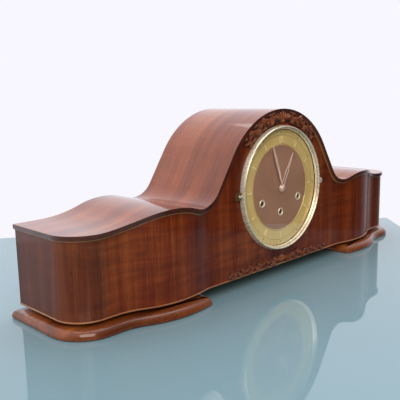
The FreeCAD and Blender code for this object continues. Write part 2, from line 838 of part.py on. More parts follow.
def make_trains():
    """The three barrels, the going train, the motion work and the wheels that turn the drum."""
    barrel_end = PLATE_BACK + 5 + val("barrel_length") + 1
    back_layer = REAR_PLATE - 2.5
    module = val("wheel_module")
    great_module = val("great_module")

    to_intermediate = bearing(GOING, INTERMEDIATE)
    small_phase = mesh_phase(GREAT, 0, PINION, to_intermediate)
    make_barrel("going", GOING, 0)
    make_barrel("chime", CHIME, 0)
    make_barrel("strike", STRIKE, 0)
    intermediate = [
        rod(ARBOR, PLATE_BACK - 2, REAR_FACE, INTERMEDIATE),
        gear(PINION, great_module, barrel_end - 0.5, back_layer, INTERMEDIATE, small_phase),
        gear(INTERMEDIATE_TEETH, module, back_layer, back_layer + 1.5, INTERMEDIATE, 0),
    ]
    keep("intermediate_wheel", shaped("intermediate_wheel", solid_of(intermediate)))

    centre_phase = mesh_phase(INTERMEDIATE_TEETH, 0, CENTRE_PINION, bearing(INTERMEDIATE, CENTRE))
    centre = [
        rod(ARBOR, MINUTE_DEPTH - val("hand_thickness") - 1.2, REAR_FACE, CENTRE),
        gear(CENTRE_PINION, module, back_layer - 0.5, back_layer + 2, CENTRE, centre_phase),
        gear(CENTRE_TEETH, module, PLATE_BACK + 2, PLATE_BACK + 3.5, CENTRE, 0),
    ]
    keep("centre_wheel", shaped("centre_wheel", solid_of(centre)))

    third_phase = mesh_phase(CENTRE_TEETH, 0, PINION, bearing(CENTRE, THIRD))
    third = [
        rod(ARBOR, PLATE_BACK - 2, REAR_FACE, THIRD),
        gear(PINION, module, PLATE_BACK + 1.5, PLATE_BACK + 4, THIRD, third_phase),
        gear(THIRD_TEETH, THIRD_MODULE, PLATE_BACK + 11, PLATE_BACK + 12.2, THIRD, 0),
    ]
    keep("third_wheel", shaped("third_wheel", solid_of(third)))

    escape_phase = mesh_phase(THIRD_TEETH, 0, PINION, bearing(THIRD, ESCAPE))
    wheel = rod(ESCAPE_RADIUS - 2.5, PLATE_BACK + 19, PLATE_BACK + 20.2, ESCAPE)
    teeth = 15
    height = val("dial_height") + ESCAPE[1]
    for index in range(teeth):
        angle = 360 * index / teeth
        corners = []
        root = ESCAPE_RADIUS - 3
        for reach, lean in ((root, -9), (ESCAPE_RADIUS, 0), (ESCAPE_RADIUS, 1.5), (root, 3)):
            turn = math.radians(angle + lean)
            near = FRONT + PLATE_BACK + 19
            corners.append(Vector(ESCAPE[0] + reach * math.cos(turn), near, height + reach * math.sin(turn)))
        wheel = wheel.fuse(Part.Face(Part.makePolygon(corners + corners[:1])).extrude(Vector(0, 1.2, 0)))
    escape = [
        wheel,
        rod(ARBOR, PLATE_BACK - 2, REAR_FACE, ESCAPE),
        gear(PINION, THIRD_MODULE, PLATE_BACK + 10.5, PLATE_BACK + 13, ESCAPE, escape_phase),
    ]
    keep("escape_wheel", shaped("escape_wheel", solid_of(escape)))

    motion_module = 2 * MOTION_REACH / (CANNON_TEETH + MINUTE_WHEEL_TEETH)
    hour_module = 2 * MOTION_REACH / (MINUTE_PINION + HOUR_TEETH)
    cannon = [
        rod(CANNON_RADIUS, MINUTE_DEPTH - val("hand_thickness"), 12.5, CENTRE),
        gear(CANNON_TEETH, motion_module, 12, 14.5, CENTRE, 0),
    ]
    pipe = solid_of(cannon).cut(rod(ARBOR, -20, 20, CENTRE))
    keep("cannon_pinion", shaped("cannon_pinion", pipe))
    away = bearing(CENTRE, MINUTE_STUD)
    wheel_phase = mesh_phase(CANNON_TEETH, 0, MINUTE_WHEEL_TEETH, away)
    minute = [
        gear(MINUTE_WHEEL_TEETH, motion_module, 12.6, 13.8, MINUTE_STUD, wheel_phase),
        gear(MINUTE_PINION, hour_module, 8.4, 12.6, MINUTE_STUD, 0),
    ]
    keep("minute_wheel", shaped("minute_wheel", solid_of(minute).cut(rod(1 + GAP, 0, 20, MINUTE_STUD))))
    hour_phase = mesh_phase(MINUTE_PINION, 0, HOUR_TEETH, away + 180)
    hour = [
        rod(HOUR_PIPE_RADIUS, HOUR_DEPTH - val("hand_thickness"), 10, CENTRE),
        gear(HOUR_TEETH, hour_module, 9, 10.5, CENTRE, hour_phase),
    ]
    hour = solid_of(hour).cut(rod(CANNON_RADIUS + GAP, -20, 20, CENTRE))
    keep("hour_wheel", shaped("hour_wheel", hour))

    second_phase = mesh_phase(GREAT, 0, PINION, bearing(CHIME, CHIME_SECOND))
    second = [
        rod(ARBOR, PLATE_BACK - 2, REAR_FACE + 4, CHIME_SECOND),
        gear(PINION, great_module, barrel_end - 0.5, barrel_end + 2.5, CHIME_SECOND, second_phase),
        gear(DRUM_TEETH, DRUM_MODULE, REAR_FACE + 2, REAR_FACE + 3.5, CHIME_SECOND, 0),
    ]
    keep("chime_second_wheel", shaped("chime_second_wheel", solid_of(second)))


# ---------------------------------------------------------------- movement frame

DRUM_START = REAR_FACE + 7
HAMMERS = 4
BRACKET = DRUM_START + HAMMERS * val("hammer_pitch") + 3
BRACKET_POSTS = ((20.0, -36.0), (59.0, -12.0))


def make_movement_frame():
    """The two brass plates, the pillars between them, their screws and the pendulum cock."""
    half = val("plate_half_width")
    low = val("dial_height") - val("plate_below")
    high = val("dial_height") + val("plate_above")
    arbors = [INTERMEDIATE, CENTRE, THIRD, ESCAPE, ANCHOR, CHIME_SECOND]
    for name, start in (("movement_front_plate", PLATE_BACK - 2), ("movement_back_plate", REAR_PLATE)):
        near = FRONT + start
        blank = slab(-half, half, near, near + val("plate_thickness"), low, high)
        for point in arbors:
            blank = blank.cut(rod(ARBOR + GAP, start - 1, start + 4, point))
        for point in (GOING, CHIME, STRIKE):
            blank = blank.cut(rod(val("winding_radius") + GAP, start - 1, start + 4, point))
        if name == "movement_front_plate":
            blank = solid_of([blank, rod(1.0, 8.0, start + 1, MINUTE_STUD)])
        keep(name, shaped(name, blank))
    pillars = []
    screws = []
    for index, (side, level) in enumerate(((-1, -50), (1, -50), (-1, 54), (1, 54))):
        x = (size("plate_half_width") - 6) * side
        pillars.append(cylinder(f"pillar_{index}", size("pillar_radius"), size("plate_gap"),
                                at_dial(x, size("front_plate_back"), level)))
        head = at_dial(x, size("front_plate_back") + size("plate_gap") + size("plate_thickness"), level)
        screws.append(cylinder(f"plate_screw_{index}", 3, 2, head))
    keep("plate_pillars", group("plate_pillars", pillars))
    keep("plate_screws", group("plate_screws", screws))

    axis = val("dial_height") + ANCHOR[1]
    cock = slab(-5, 5, FRONT + REAR_FACE, FRONT + REAR_FACE + 10, axis + 5, axis + 12)
    lip = slab(-5, 5, FRONT + REAR_FACE + 8, FRONT + REAR_FACE + 10, axis - 4, axis + 6)
    pin = rod(1.2, REAR_FACE + 3, REAR_FACE + 9, ANCHOR)
    keep("pendulum_cock", shaped("pendulum_cock", solid_of([cock, lip, pin])))


def make_escapement():
    """The anchor with its crutch, and the pendulum that it drives."""
    near = PLATE_BACK + 19
    inner = ESCAPE_RADIUS + 1.5
    band = rod(inner + 2, near, near + 1.2, ESCAPE).cut(rod(inner, near - 1, near + 3, ESCAPE))
    reach = 9.5
    axis = val("dial_height") + ANCHOR[1]
    centre = val("dial_height") + ESCAPE[1]
    band = band.common(slab(-reach, reach, low_z=centre))
    stem = slab(-1.5, 1.5, FRONT + near, FRONT + near + 1.2, centre + inner + 1, axis)
    crutch_drop = 22
    crutch = slab(-1.5, 1.5, FRONT + REAR_FACE + 1, FRONT + REAR_FACE + 2, axis - crutch_drop, axis)
    fork = []
    for side in (-1, 1):
        point = (side * 2.4, ANCHOR[1] - crutch_drop + 1)
        fork.append(rod(0.7, REAR_FACE + 1, REAR_FACE + 7, point))
    behind = FRONT + REAR_FACE + 1
    bar = slab(-3, 3, behind, behind + 1, axis - crutch_drop, axis - crutch_drop + 2.5)
    pieces = [rod(ARBOR, PLATE_BACK - 2, REAR_FACE + 2, ANCHOR), band, stem, crutch, bar] + fork
    keep("anchor", shaped("anchor", solid_of(pieces)))

    middle = REAR_FACE + 5
    length = val("pendulum_length")
    eye = rod(3.2, middle - 1, middle + 1, ANCHOR)
    hung = Vector(0, FRONT + middle, axis)
    wire = Part.makeCylinder(1.3, length - val("bob_radius"), hung, Vector(0, 0, -1))
    hanger = solid_of([eye, wire]).cut(rod(1.2 + GAP, middle - 5, middle + 5, ANCHOR))
    keep("pendulum_rod", shaped("pendulum_rod", hanger))
    bob = (0.0, ANCHOR[1] - length)
    weight = rod(val("bob_radius"), middle - 2.5, middle + 2.5, bob)
    keep("pendulum_bob", shaped("pendulum_bob", weight.cut(wire)))


def make_chime():
    """The pinned drum, the sprung hammers, their shaft and bracket, and the rods on their block."""
    drum_phase = mesh_phase(DRUM_TEETH, 0, DRUM_TEETH, bearing(CHIME_SECOND, DRUM))
    pitch = val("hammer_pitch")
    drum = [
        rod(ARBOR, REAR_FACE + 0.5, BRACKET + 1.5, DRUM),
        gear(DRUM_TEETH, DRUM_MODULE, REAR_FACE + 2, REAR_FACE + 3.5, DRUM, drum_phase),
        rod(7, DRUM_START, DRUM_START + HAMMERS * pitch, DRUM),
    ]
    for index in range(HAMMERS):
        start = DRUM_START + pitch * (index + 0.5)
        drum.append(rod(8.5, start - 1, start + 1, DRUM).cut(rod(6.5, start - 2, start + 2, DRUM)))
    keep("chime_drum", shaped("chime_drum", solid_of(drum)))

    base = val("dial_height")
    near = FRONT + BRACKET
    bracket = slab(15, 64, near, near + 1.5, base - 40, base - 7)
    bracket = bracket.cut(rod(ARBOR + GAP, BRACKET - 1, BRACKET + 3, DRUM))
    bracket = bracket.cut(rod(val("hammer_shaft_radius"), BRACKET - 1, BRACKET + 3, HAMMER_AXIS))
    posts = [rod(2, REAR_FACE, BRACKET + 0.5, point) for point in BRACKET_POSTS]
    keep("hammer_bracket", shaped("hammer_bracket", solid_of([bracket] + posts)))
    shaft = rod(val("hammer_shaft_radius"), REAR_FACE, BRACKET + 1.5, HAMMER_AXIS)
    keep("hammer_shaft", shaped("hammer_shaft", shaft))

    reach = val("hammer_reach")
    height = base + HAMMER_AXIS[1]
    head_x = HAMMER_AXIS[0] + reach
    drop = 8
    for index in range(HAMMERS):
        middle = DRUM_START + pitch * (index + 0.5)
        hub = rod(4, middle - 3, middle + 3, HAMMER_AXIS)
        pivot = HAMMER_AXIS[0]
        near = FRONT + middle - 1
        arm = slab(pivot + 1, head_x, near, near + 2, height - 1.5, height + 1.5)
        tail = slab(pivot - 9, pivot, near, near + 2, height, height + 2)
        head = Part.makeCylinder(3.6, drop + 5, Vector(head_x, FRONT + middle, height - drop))
        hammer = solid_of([hub, arm, tail, head])
        hammer = hammer.cut(rod(val("hammer_shaft_radius") + GAP, middle - 5, middle + 5, HAMMER_AXIS))
        keep(f"hammer_{index + 1}", shaped(f"hammer_{index + 1}", hammer))

    rod_z = height - drop - val("rod_gap") - val("rod_radius")
    block_x = 118.0
    floor = case_foot + val("base_wall")
    width = HAMMERS * pitch + 8
    near = FRONT + DRUM_START - 4
    block = slab(block_x, block_x + 26, near, near + width, floor, rod_z + 8)
    keep("rod_block", shaped("rod_block", block))
    rods = []
    for index in range(HAMMERS):
        start = Vector(block_x, FRONT + DRUM_START + pitch * (index + 0.5), rod_z)
        rods.append(Part.makeCylinder(val("rod_radius"), 236 - 12 * index, start, Vector(-1, 0, 0)))
    keep("chime_rods", shaped("chime_rods", Part.makeCompound(rods)))


# ---------------------------------------------------------------- rear door

DOOR_AXIS_X = -(val("door_half_width") + val("door_gap") / 2)
DOOR_AXIS_Y = BACK + 2.6
DOOR_HINGES = (56.0, 98.0)
DOOR_KNUCKLE = 2.2


def make_door():
    """The slotted rear door, its knob and its two butt hinges."""
    near = BACK - val("door_thickness")
    door = door_blank(0, near, BACK)
    slots = 7
    for index in range(slots):
        x = 12 * (index - (slots - 1) / 2)
        door = door.cut(slab(x - 1.5, x + 1.5, near - 1, BACK + 1, 92, 160))
    keep("rear_door", shaped("rear_door", door))
    knob = [
        (0, 0), (2.5, 0), (2.5, 2), (5, 3), (5.5, 4.8), (4, 6), (0, 6),
    ]
    keep("door_knob", turned("door_knob", knob, (size("door_half_width") - 12, case_back, 92)))

    height = val("hinge_height")
    third = height / 3
    moving = []
    fixed = []
    pins = []
    leaf = 1.2
    drill_radius = val("hinge_pin")
    for centre in DOOR_HINGES:
        low = centre - height / 2
        axis = Vector(DOOR_AXIS_X, DOOR_AXIS_Y, low)
        up = Vector(0, 0, 1)
        pins.append(Part.makeCylinder(drill_radius, height, axis, up))
        middle = Part.makeCylinder(DOOR_KNUCKLE, third - 0.3, axis + Vector(0, 0, third + 0.15), up)
        near = BACK + 0.4
        far = BACK + leaf + 0.6
        foot = low + third + 0.15
        bridge = slab(DOOR_AXIS_X, DOOR_AXIS_X + 3, near, far, foot, low + 2 * third - 0.15)
        plate_shape = slab(DOOR_AXIS_X + 2, DOOR_AXIS_X + 12, BACK, BACK + leaf, low, low + height)
        bore = Part.makeCylinder(drill_radius + GAP, height, axis, up)
        moving.append(solid_of([middle, bridge, plate_shape]).cut(bore))
        pieces = [slab(DOOR_AXIS_X - 12, DOOR_AXIS_X - 2, BACK, BACK + leaf, low, low + height)]
        for level in (0, 2 * third):
            foot = axis + Vector(0, 0, level)
            pieces.append(Part.makeCylinder(DOOR_KNUCKLE, third, foot, up))
            edge = DOOR_AXIS_X - 3
            pieces.append(slab(edge, DOOR_AXIS_X, near, far, low + level, low + level + third))
        fixed.append(solid_of(pieces).cut(Part.makeCylinder(drill_radius, height, axis, up)))
    keep("door_hinge_leaves", shaped("door_hinge_leaves", Part.makeCompound(moving)))
    keep("frame_hinge_leaves", shaped("frame_hinge_leaves", Part.makeCompound(fixed)))
    keep("door_hinge_pins", shaped("door_hinge_pins", Part.makeCompound(pins)))


make_case()
make_foot("right_foot", 1)
make_foot("left_foot", -1)
make_carvings()
make_dial()
make_bezel()
make_hands()
make_movement_frame()
make_trains()
make_escapement()
make_chime()
make_door()
doc.recompute()

for obj in doc.Objects:
    if "Invalid" in obj.State or "Error" in obj.State:
        raise RuntimeError(f"{obj.Name} failed: {obj.State}")
for name, obj in sub_parts.items():
    if obj.Shape.isNull() or not obj.Shape.isValid() or not obj.Shape.Solids:
        raise RuntimeError(f"{name} has no valid solid")

os.makedirs("parts", exist_ok=True)
for name, obj in sub_parts.items():
    obj.Shape.exportStep(f"parts/{name}.step")
    limits = obj.Shape.BoundBox
    print(f"{name}: {len(obj.Shape.Solids)} solid(s), {obj.Shape.Volume:.1f} mm3, "
          f"x {limits.XMin:.1f}..{limits.XMax:.1f} y {limits.YMin:.1f}..{limits.YMax:.1f} "
          f"z {limits.ZMin:.1f}..{limits.ZMax:.1f}")
print(len(sub_parts), "sub-parts")
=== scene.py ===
"""Looks of a humped shelf clock: veneered case, carved ornaments, gilt dial, movement and studio."""

import bisect
import json
import logging
import math
from dataclasses import dataclass, field
from enum import Enum
from functools import lru_cache
from typing import Callable, Iterable, Sequence

import bmesh
import bpy
from mathutils import Matrix, Vector

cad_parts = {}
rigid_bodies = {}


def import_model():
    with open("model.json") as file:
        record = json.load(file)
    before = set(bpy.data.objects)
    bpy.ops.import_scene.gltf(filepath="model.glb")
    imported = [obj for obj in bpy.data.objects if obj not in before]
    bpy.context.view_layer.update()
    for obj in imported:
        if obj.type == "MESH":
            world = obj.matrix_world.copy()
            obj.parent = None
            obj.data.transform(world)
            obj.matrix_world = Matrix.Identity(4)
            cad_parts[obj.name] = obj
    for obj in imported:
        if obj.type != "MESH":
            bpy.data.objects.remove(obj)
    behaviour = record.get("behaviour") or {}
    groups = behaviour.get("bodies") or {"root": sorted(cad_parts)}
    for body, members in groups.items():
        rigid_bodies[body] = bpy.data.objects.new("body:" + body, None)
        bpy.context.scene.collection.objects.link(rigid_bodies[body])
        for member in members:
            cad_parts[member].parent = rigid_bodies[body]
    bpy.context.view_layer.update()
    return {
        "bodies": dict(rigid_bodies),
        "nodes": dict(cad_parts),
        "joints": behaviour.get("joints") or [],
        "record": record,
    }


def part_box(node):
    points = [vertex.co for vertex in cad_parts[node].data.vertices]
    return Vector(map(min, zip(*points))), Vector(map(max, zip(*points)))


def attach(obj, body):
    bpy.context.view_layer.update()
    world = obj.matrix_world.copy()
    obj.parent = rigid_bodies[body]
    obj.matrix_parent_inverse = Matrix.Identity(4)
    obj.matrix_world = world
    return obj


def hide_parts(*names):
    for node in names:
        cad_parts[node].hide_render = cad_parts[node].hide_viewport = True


LOG = logging.getLogger("shelf_clock")
Colour = tuple[float, float, float]
Stretch = tuple[float, float, float]
Outline = Sequence[tuple[float, float]]
Shape = bmesh.types.BMesh
Piece = bpy.types.Object
Socket = bpy.types.NodeSocket
Tree = bpy.types.NodeTree
DIAL_HEIGHT = 0.1235
COAT_ROUGHNESS = 0.085
RIPPLE_SHADE = (0.50, 0.44, 0.40)
BACKDROP = (0.94, 0.93, 1.0, 1)
SHADE_LIGHT = (0.90, 0.90, 0.98, 1)
MERGE_GAP = 2e-5
CLOSE = 1e-5
CORNER_STEPS = 18
CORNER_TURN = 5


# ---------------------------------------------------------------- node recipes

def plug(tree: Tree, target: Socket, value: object) -> None:
    """Give an input either a socket or a plain value.

    Args:
        tree: the tree that holds both.
        target: the input socket.
        value: another node's output, or a number or colour.
    """
    if isinstance(value, Socket):
        tree.links.new(value, target)
    else:
        target.default_value = value


def add_node(tree: Tree, kind: str, **inputs: object) -> bpy.types.Node:
    """Add a node and fill its inputs.

    Args:
        tree: the tree that takes it.
        kind: its type, without the ShaderNode in front.
        inputs: sockets or plain values by input name, with _ for a space.

    Returns:
        The node.
    """
    node = tree.nodes.new(f"ShaderNode{kind}")
    for name, value in inputs.items():
        plug(tree, node.inputs[name.replace("_", " ")], value)
    return node


class Recipe:
    """A material's node tree while it is being put together."""

    def __init__(self, name: str) -> None:
        """Start a material with a principled shader and an output.

        Args:
            name: the material's name.
        """
        self.material = bpy.data.materials.new(name)
        self.material.use_nodes = True
        self.tree = self.material.node_tree
        self.tree.nodes.clear()
        self.shader = self.add("BsdfPrincipled")
        self.output = self.add("OutputMaterial", Surface=self.shader.outputs["BSDF"])
        self.coords = self.add("TexCoord")

    def add(self, kind: str, **inputs: object) -> bpy.types.Node:
        """Add a node of a kind with its inputs filled."""
        return add_node(self.tree, kind, **inputs)

    def stretched(self, stretch: Stretch, shift: Stretch = (0, 0, 0)) -> Socket:
        """Scale the piece's own coordinates along each axis.

        Args:
            stretch: repeats per metre along X, Y and Z.
            shift: an offset that sets two patterns apart.

        Returns:
            The scaled coordinates.
        """
        place = self.coords.outputs["Object"]
        return self.add("Mapping", Scale=stretch, Location=shift, Vector=place).outputs["Vector"]

    def noise(self, stretch: Stretch, detail: float = 3, rough: float = 0.5, wander: float = 0,
              shift: Stretch = (0, 0, 0)) -> Socket:
        """A cloudy pattern.

        Args:
            stretch: repeats per metre along each axis.
            detail: how many finer layers it has.
            rough: how strong the finer layers are.
            wander: how much it swirls.
            shift: an offset that sets two patterns apart.

        Returns:
            The pattern's value from 0 to 1.
        """
        place = self.stretched(stretch, shift)
        cloud = self.add("TexNoise", Vector=place, Scale=1, Detail=detail, Roughness=rough, Distortion=wander)
        return cloud.outputs["Fac"]

    def sums(self, operation: str, first: object, second: object = 0.0) -> Socket:
        """Do arithmetic on two values.

        Args:
            operation: the sum's name, such as ADD or MULTIPLY.
            first: a socket or number.
            second: a socket or number.

        Returns:
            The result.
        """
        maths = self.add("Math")
        maths.operation = operation
        plug(self.tree, maths.inputs[0], first)
        plug(self.tree, maths.inputs[1], second)
        return maths.outputs["Value"]

    def blend(self, *shares: tuple[Socket, float]) -> Socket:
        """Add up patterns, each times its share."""
        total, *others = [self.sums("MULTIPLY", pattern, share) for pattern, share in shares]
        for other in others:
            total = self.sums("ADD", total, other)
        return total

    def spread(self, value: Socket, low: float, high: float, to_low: float = 0,
               to_high: float = 1) -> Socket:
        """Remap a value from one range to another, held at the ends.

        Args:
            value: the value to remap.
            low: the value that becomes to_low.
            high: the value that becomes to_high.
            to_low: the new lower end.
            to_high: the new upper end.

        Returns:
            The remapped value.
        """
        remap = self.add("MapRange", Value=value, From_Min=low, From_Max=high, To_Min=to_low, To_Max=to_high)
        return remap.outputs["Result"]

    def ramp(self, value: Socket, stops: Sequence[tuple[float, Colour]]) -> Socket:
        """Colour a value along a strip of stops.

        Args:
            value: the value from 0 to 1.
            stops: places and colours, in order.

        Returns:
            The colour.
        """
        strip = self.add("ValToRGB", Fac=value)
        elements = strip.color_ramp.elements
        while len(elements) < len(stops):
            elements.new(0.5)
        for element, (place, colour) in zip(elements, stops):
            element.position = place
            element.color = (*colour, 1)
        return strip.outputs["Color"]

    def mix(self, factor: object, first: object, second: object, blend: str = "MIX") -> Socket:
        """Blend two colours.

        Args:
            factor: how much of the second shows.
            first: a socket or colour.
            second: a socket or colour.
            blend: the way that they combine.

        Returns:
            The blended colour.
        """
        node = self.add("Mix")
        node.data_type = "RGBA"
        node.blend_type = blend
        plug(self.tree, node.inputs[0], factor)
        for socket, value in ((node.inputs[6], first), (node.inputs[7], second)):
            plug(self.tree, socket, value if isinstance(value, Socket) else (*value, 1))
        return node.outputs[2]

    def bump(self, height: Socket, strength: float, distance: float) -> None:
        """Raise the surface by a pattern.

        Args:
            height: the pattern.
            strength: how strongly it shows.
            distance: its height in metres.
        """
        raised = self.add("Bump", Strength=strength, Distance=distance, Height=height)
        self.set(Normal=raised.outputs["Normal"])

    def set(self, **inputs: object) -> None:
        """Give the shader's inputs values or patterns, with _ for a space in their names."""
        for name, value in inputs.items():
            plug(self.tree, self.shader.inputs[name.replace("_", " ")], value)


class Grain(Enum):
    """The way that wood grain runs on a piece, as strokes per metre along X, Y and Z."""

    UPRIGHT = (1.0, 1.0, 0.05)
    ALONG = (0.05, 1.0, 1.0)
    OVER_CASE = (0.07, 1.0, 0.07)


def tint(colour: Colour, share: float) -> Colour:
    """Scale a colour's brightness."""
    return tuple(min(1.0, part * share) for part in colour)


@dataclass(frozen=True)
class Veneer:
    """Figured wood under a deep polish, or bare, with bands, fine strokes, pores and ripple."""

    name: str
    dark: Colour
    middle: Colour
    light: Colour
    grain: Grain
    ripple: float = 0.5
    polish: float = 1.0
    roughness: float = 0.38
    stroke: float = 900.0
    band: float = 34.0
    glaze: float = 1.5

    def material(self) -> bpy.types.Material:
        """Build the wood's material."""
        mix = Recipe(self.name)
        run = self.grain.value
        bands = mix.noise(tuple(self.band * part for part in run), 4, 0.6, 0.35)
        strokes = mix.noise(tuple(self.stroke * part * (0.35 if part < 1 else 1) for part in run), 3, 0.6)
        pores = mix.noise(tuple(1.7 * self.stroke * part for part in run), 1, 0.5, 0, (7, 3, 5))
        clouds = mix.noise((9, 9, 9), 2, 0.5, 0, (3, 1, 8))
        across = tuple(16.0 if part == 1 else 105.0 for part in run)
        waves = mix.noise(across, 2, 0.45, 0.6, (2, 9, 4))
        tone = mix.blend((bands, 0.62), (strokes, 0.26), (clouds, 0.24))
        colour = mix.ramp(tone, ((0.40, self.dark), (0.55, self.middle), (0.72, self.light)))
        ripple = mix.sums("MULTIPLY", mix.spread(waves, 0.36, 0.64), mix.spread(clouds, 0.38, 0.62, 0.25, 1))
        colour = mix.mix(mix.sums("MULTIPLY", ripple, self.ripple), colour, RIPPLE_SHADE, "MULTIPLY")
        opening = mix.spread(pores, 0.62, 0.74)
        colour = mix.mix(mix.sums("MULTIPLY", opening, 0.55), colour, tint(self.dark, 0.45))
        mix.set(Base_Color=colour)
        mix.set(Roughness=mix.spread(strokes, 0.3, 0.7, self.roughness - 0.06, self.roughness + 0.1))
        mix.set(Coat_Weight=self.polish, Coat_Roughness=COAT_ROUGHNESS, Coat_IOR=self.glaze,
                Specular_IOR_Level=0.1 if self.polish else 0.4)
        mix.bump(mix.sums("SUBTRACT", strokes, opening), 0.12 if self.polish else 0.35, 0.00012)
        return mix.material


@dataclass(frozen=True)
class Carved:
    """Carved hardwood, darker towards its hollows as painted shade and lighter on its high places as a
    painted highlight.
    """

    name: str
    # painted shade: the dark colour for the hollows, where shade falls
    recess_shade: Colour
    face: Colour
    # painted highlight: the light colour for the raised places
    high: Colour
    front: float
    depth: float

    def material(self) -> bpy.types.Material:
        """Build the carving's material, with painted shade darkening it towards its ground and a painted
        highlight on its raised parts.
        """
        mix = Recipe(self.name)
        place = mix.add("SeparateXYZ", Vector=mix.coords.outputs["Object"])
        height = mix.spread(place.outputs["Y"], self.front, self.front - self.depth)
        strokes = mix.noise((260, 500, 260), 4, 0.6, 0.4)
        blots = mix.noise((70, 70, 70), 3, 0.5)
        tone = mix.blend((height, 0.72), (blots, 0.34))
        # painted light: darker towards the ground as painted shade, lighter towards the front as a painted
        # highlight; the fine strokes are drawn in the painted shade colour
        colour = mix.ramp(tone, ((0.18, self.recess_shade), (0.52, self.face), (0.98, self.high)))
        colour = mix.mix(mix.spread(strokes, 0.45, 0.75, 0, 0.45), colour, self.recess_shade)
        mix.set(Base_Color=colour)
        mix.set(Roughness=mix.spread(strokes, 0.3, 0.7, 0.28, 0.45))
        mix.set(Coat_Weight=0.4, Coat_Roughness=0.15, Specular_IOR_Level=0.2)
        mix.bump(strokes, 0.25, 0.0002)
        return mix.material


@dataclass(frozen=True)
class Metal:
    """Solid or plated metal with cloudy tarnish, fine marks and a satin or bright surface."""

    name: str
    bright: Colour
    dull: Colour
    roughness: float
    marks: Stretch = (420.0, 420.0, 420.0)
    scratch: float = 0.12
    metallic: float = 1.0

    def material(self) -> bpy.types.Material:
        """Build the metal's material."""
        mix = Recipe(self.name)
        tarnish = mix.noise((60, 60, 60), 4, 0.6, 0.2)
        marks = mix.noise(self.marks, 5, 0.65)
        mix.set(Base_Color=mix.ramp(tarnish, ((0.32, self.dull), (0.62, self.bright))))
        mix.set(Metallic=self.metallic)
        wear = mix.blend((tarnish, 0.5), (marks, 0.5))
        mix.set(Roughness=mix.spread(wear, 0.3, 0.7, self.roughness * 0.7, self.roughness * 1.45))
        mix.bump(marks, self.scratch, 0.00005)
        return mix.material


@dataclass(frozen=True)
class Lacquer:
    """Tinted lacquer over brushed sheet, a little cloudy and satin."""

    name: str
    deep: Colour
    pale: Colour
    marks: Stretch
    roughness: float = 0.3
    metallic: float = 0.35

    def material(self) -> bpy.types.Material:
        """Build the lacquer's material."""
        mix = Recipe(self.name)
        clouds = mix.noise((22, 22, 22), 3, 0.5)
        brush = mix.noise(self.marks, 4, 0.6)
        tone = mix.blend((clouds, 0.55), (brush, 0.45))
        mix.set(Base_Color=mix.ramp(tone, ((0.36, self.deep), (0.64, self.pale))))
        mix.set(Metallic=self.metallic)
        mix.set(Roughness=mix.spread(brush, 0.3, 0.7, self.roughness * 0.8, self.roughness * 1.3))
        mix.set(Coat_Weight=0.35, Coat_Roughness=0.08)
        mix.bump(brush, 0.1, 0.00004)
        return mix.material


@dataclass(frozen=True)
class Pane:
    """Clear glass that lets light through to what stands behind it."""

    name: str

    def material(self) -> bpy.types.Material:
        """Build the glass, which casts no dark shadow."""
        mix = Recipe(self.name)
        haze = mix.noise((30, 30, 30), 2, 0.5)
        mix.set(Base_Color=(1, 1, 1, 1))
        mix.set(Roughness=mix.spread(haze, 0.3, 0.7, 0.0, 0.02))
        mix.set(IOR=1.46, Transmission_Weight=1.0)
        clear = mix.add("BsdfTransparent")
        either = mix.add("MixShader", Fac=mix.add("LightPath").outputs["Is Shadow Ray"])
        plug(mix.tree, either.inputs[1], mix.shader.outputs["BSDF"])
        plug(mix.tree, either.inputs[2], clear.outputs["BSDF"])
        plug(mix.tree, mix.output.inputs["Surface"], either.outputs["Shader"])
        return mix.material


FRONT_VENEER = Veneer("walnut_front", (0.066, 0.007, 0.0014), (0.195, 0.026, 0.0040), (0.360, 0.082, 0.014),
                      Grain.UPRIGHT, 0.85, 0.42)
END_VENEER = Veneer("walnut_ends", (0.050, 0.009, 0.002), (0.140, 0.026, 0.006), (0.26, 0.066, 0.016),
                    Grain.UPRIGHT, 0.6, 0.5)
COVER_VENEER = Veneer("walnut_cover", (0.125, 0.022, 0.004), (0.270, 0.056, 0.010), (0.45, 0.13, 0.030),
                      Grain.OVER_CASE, 0.35, glaze=1.62)
COVER_EDGE = Veneer("walnut_edge", (0.035, 0.008, 0.003), (0.075, 0.016, 0.006), (0.130, 0.034, 0.013),
                    Grain.ALONG, 0.15)
FOOT_WOOD = Veneer("walnut_feet", (0.085, 0.016, 0.004), (0.230, 0.056, 0.013), (0.44, 0.135, 0.035),
                   Grain.ALONG, 0.3)
BOXWOOD = Veneer("boxwood_bead", (0.26, 0.095, 0.030), (0.38, 0.15, 0.052), (0.50, 0.23, 0.085),
                 Grain.ALONG, 0.1)
PLYWOOD = Veneer("pale_plywood", (0.30, 0.17, 0.080), (0.42, 0.26, 0.13), (0.54, 0.36, 0.20),
                 Grain.UPRIGHT, 0.2, 0.0, 0.55)
DEAL = Veneer("sawn_floor", (0.26, 0.15, 0.075), (0.40, 0.25, 0.13), (0.52, 0.36, 0.20),
              Grain.ALONG, 0.1, 0.0, 0.6)
KNOB_WOOD = Veneer("turned_knob", (0.05, 0.016, 0.008), (0.11, 0.036, 0.015), (0.19, 0.07, 0.03),
                   Grain.ALONG, 0.2)
POLISHED_BRASS = Metal("polished_brass", (1.0, 0.88, 0.66), (0.98, 0.85, 0.62), 0.26, scratch=0.04,
                       metallic=0.62)
PINK_BRASS = Metal("pale_gold_hands", (0.90, 0.69, 0.58), (0.80, 0.58, 0.47), 0.32, metallic=0.45)
CHAPTER_GOLD = Lacquer("chapter_gold", (0.78, 0.55, 0.17), (0.92, 0.70, 0.28), (700, 700, 700), 0.32, 0.4)
MARKER_GOLD = Metal("marker_gold", (0.98, 0.84, 0.46), (0.86, 0.68, 0.32), 0.35, metallic=0.3)
TRACK_BRONZE = Metal("track_bronze", (0.20, 0.115, 0.045), (0.14, 0.075, 0.03), 0.4, metallic=0.3)
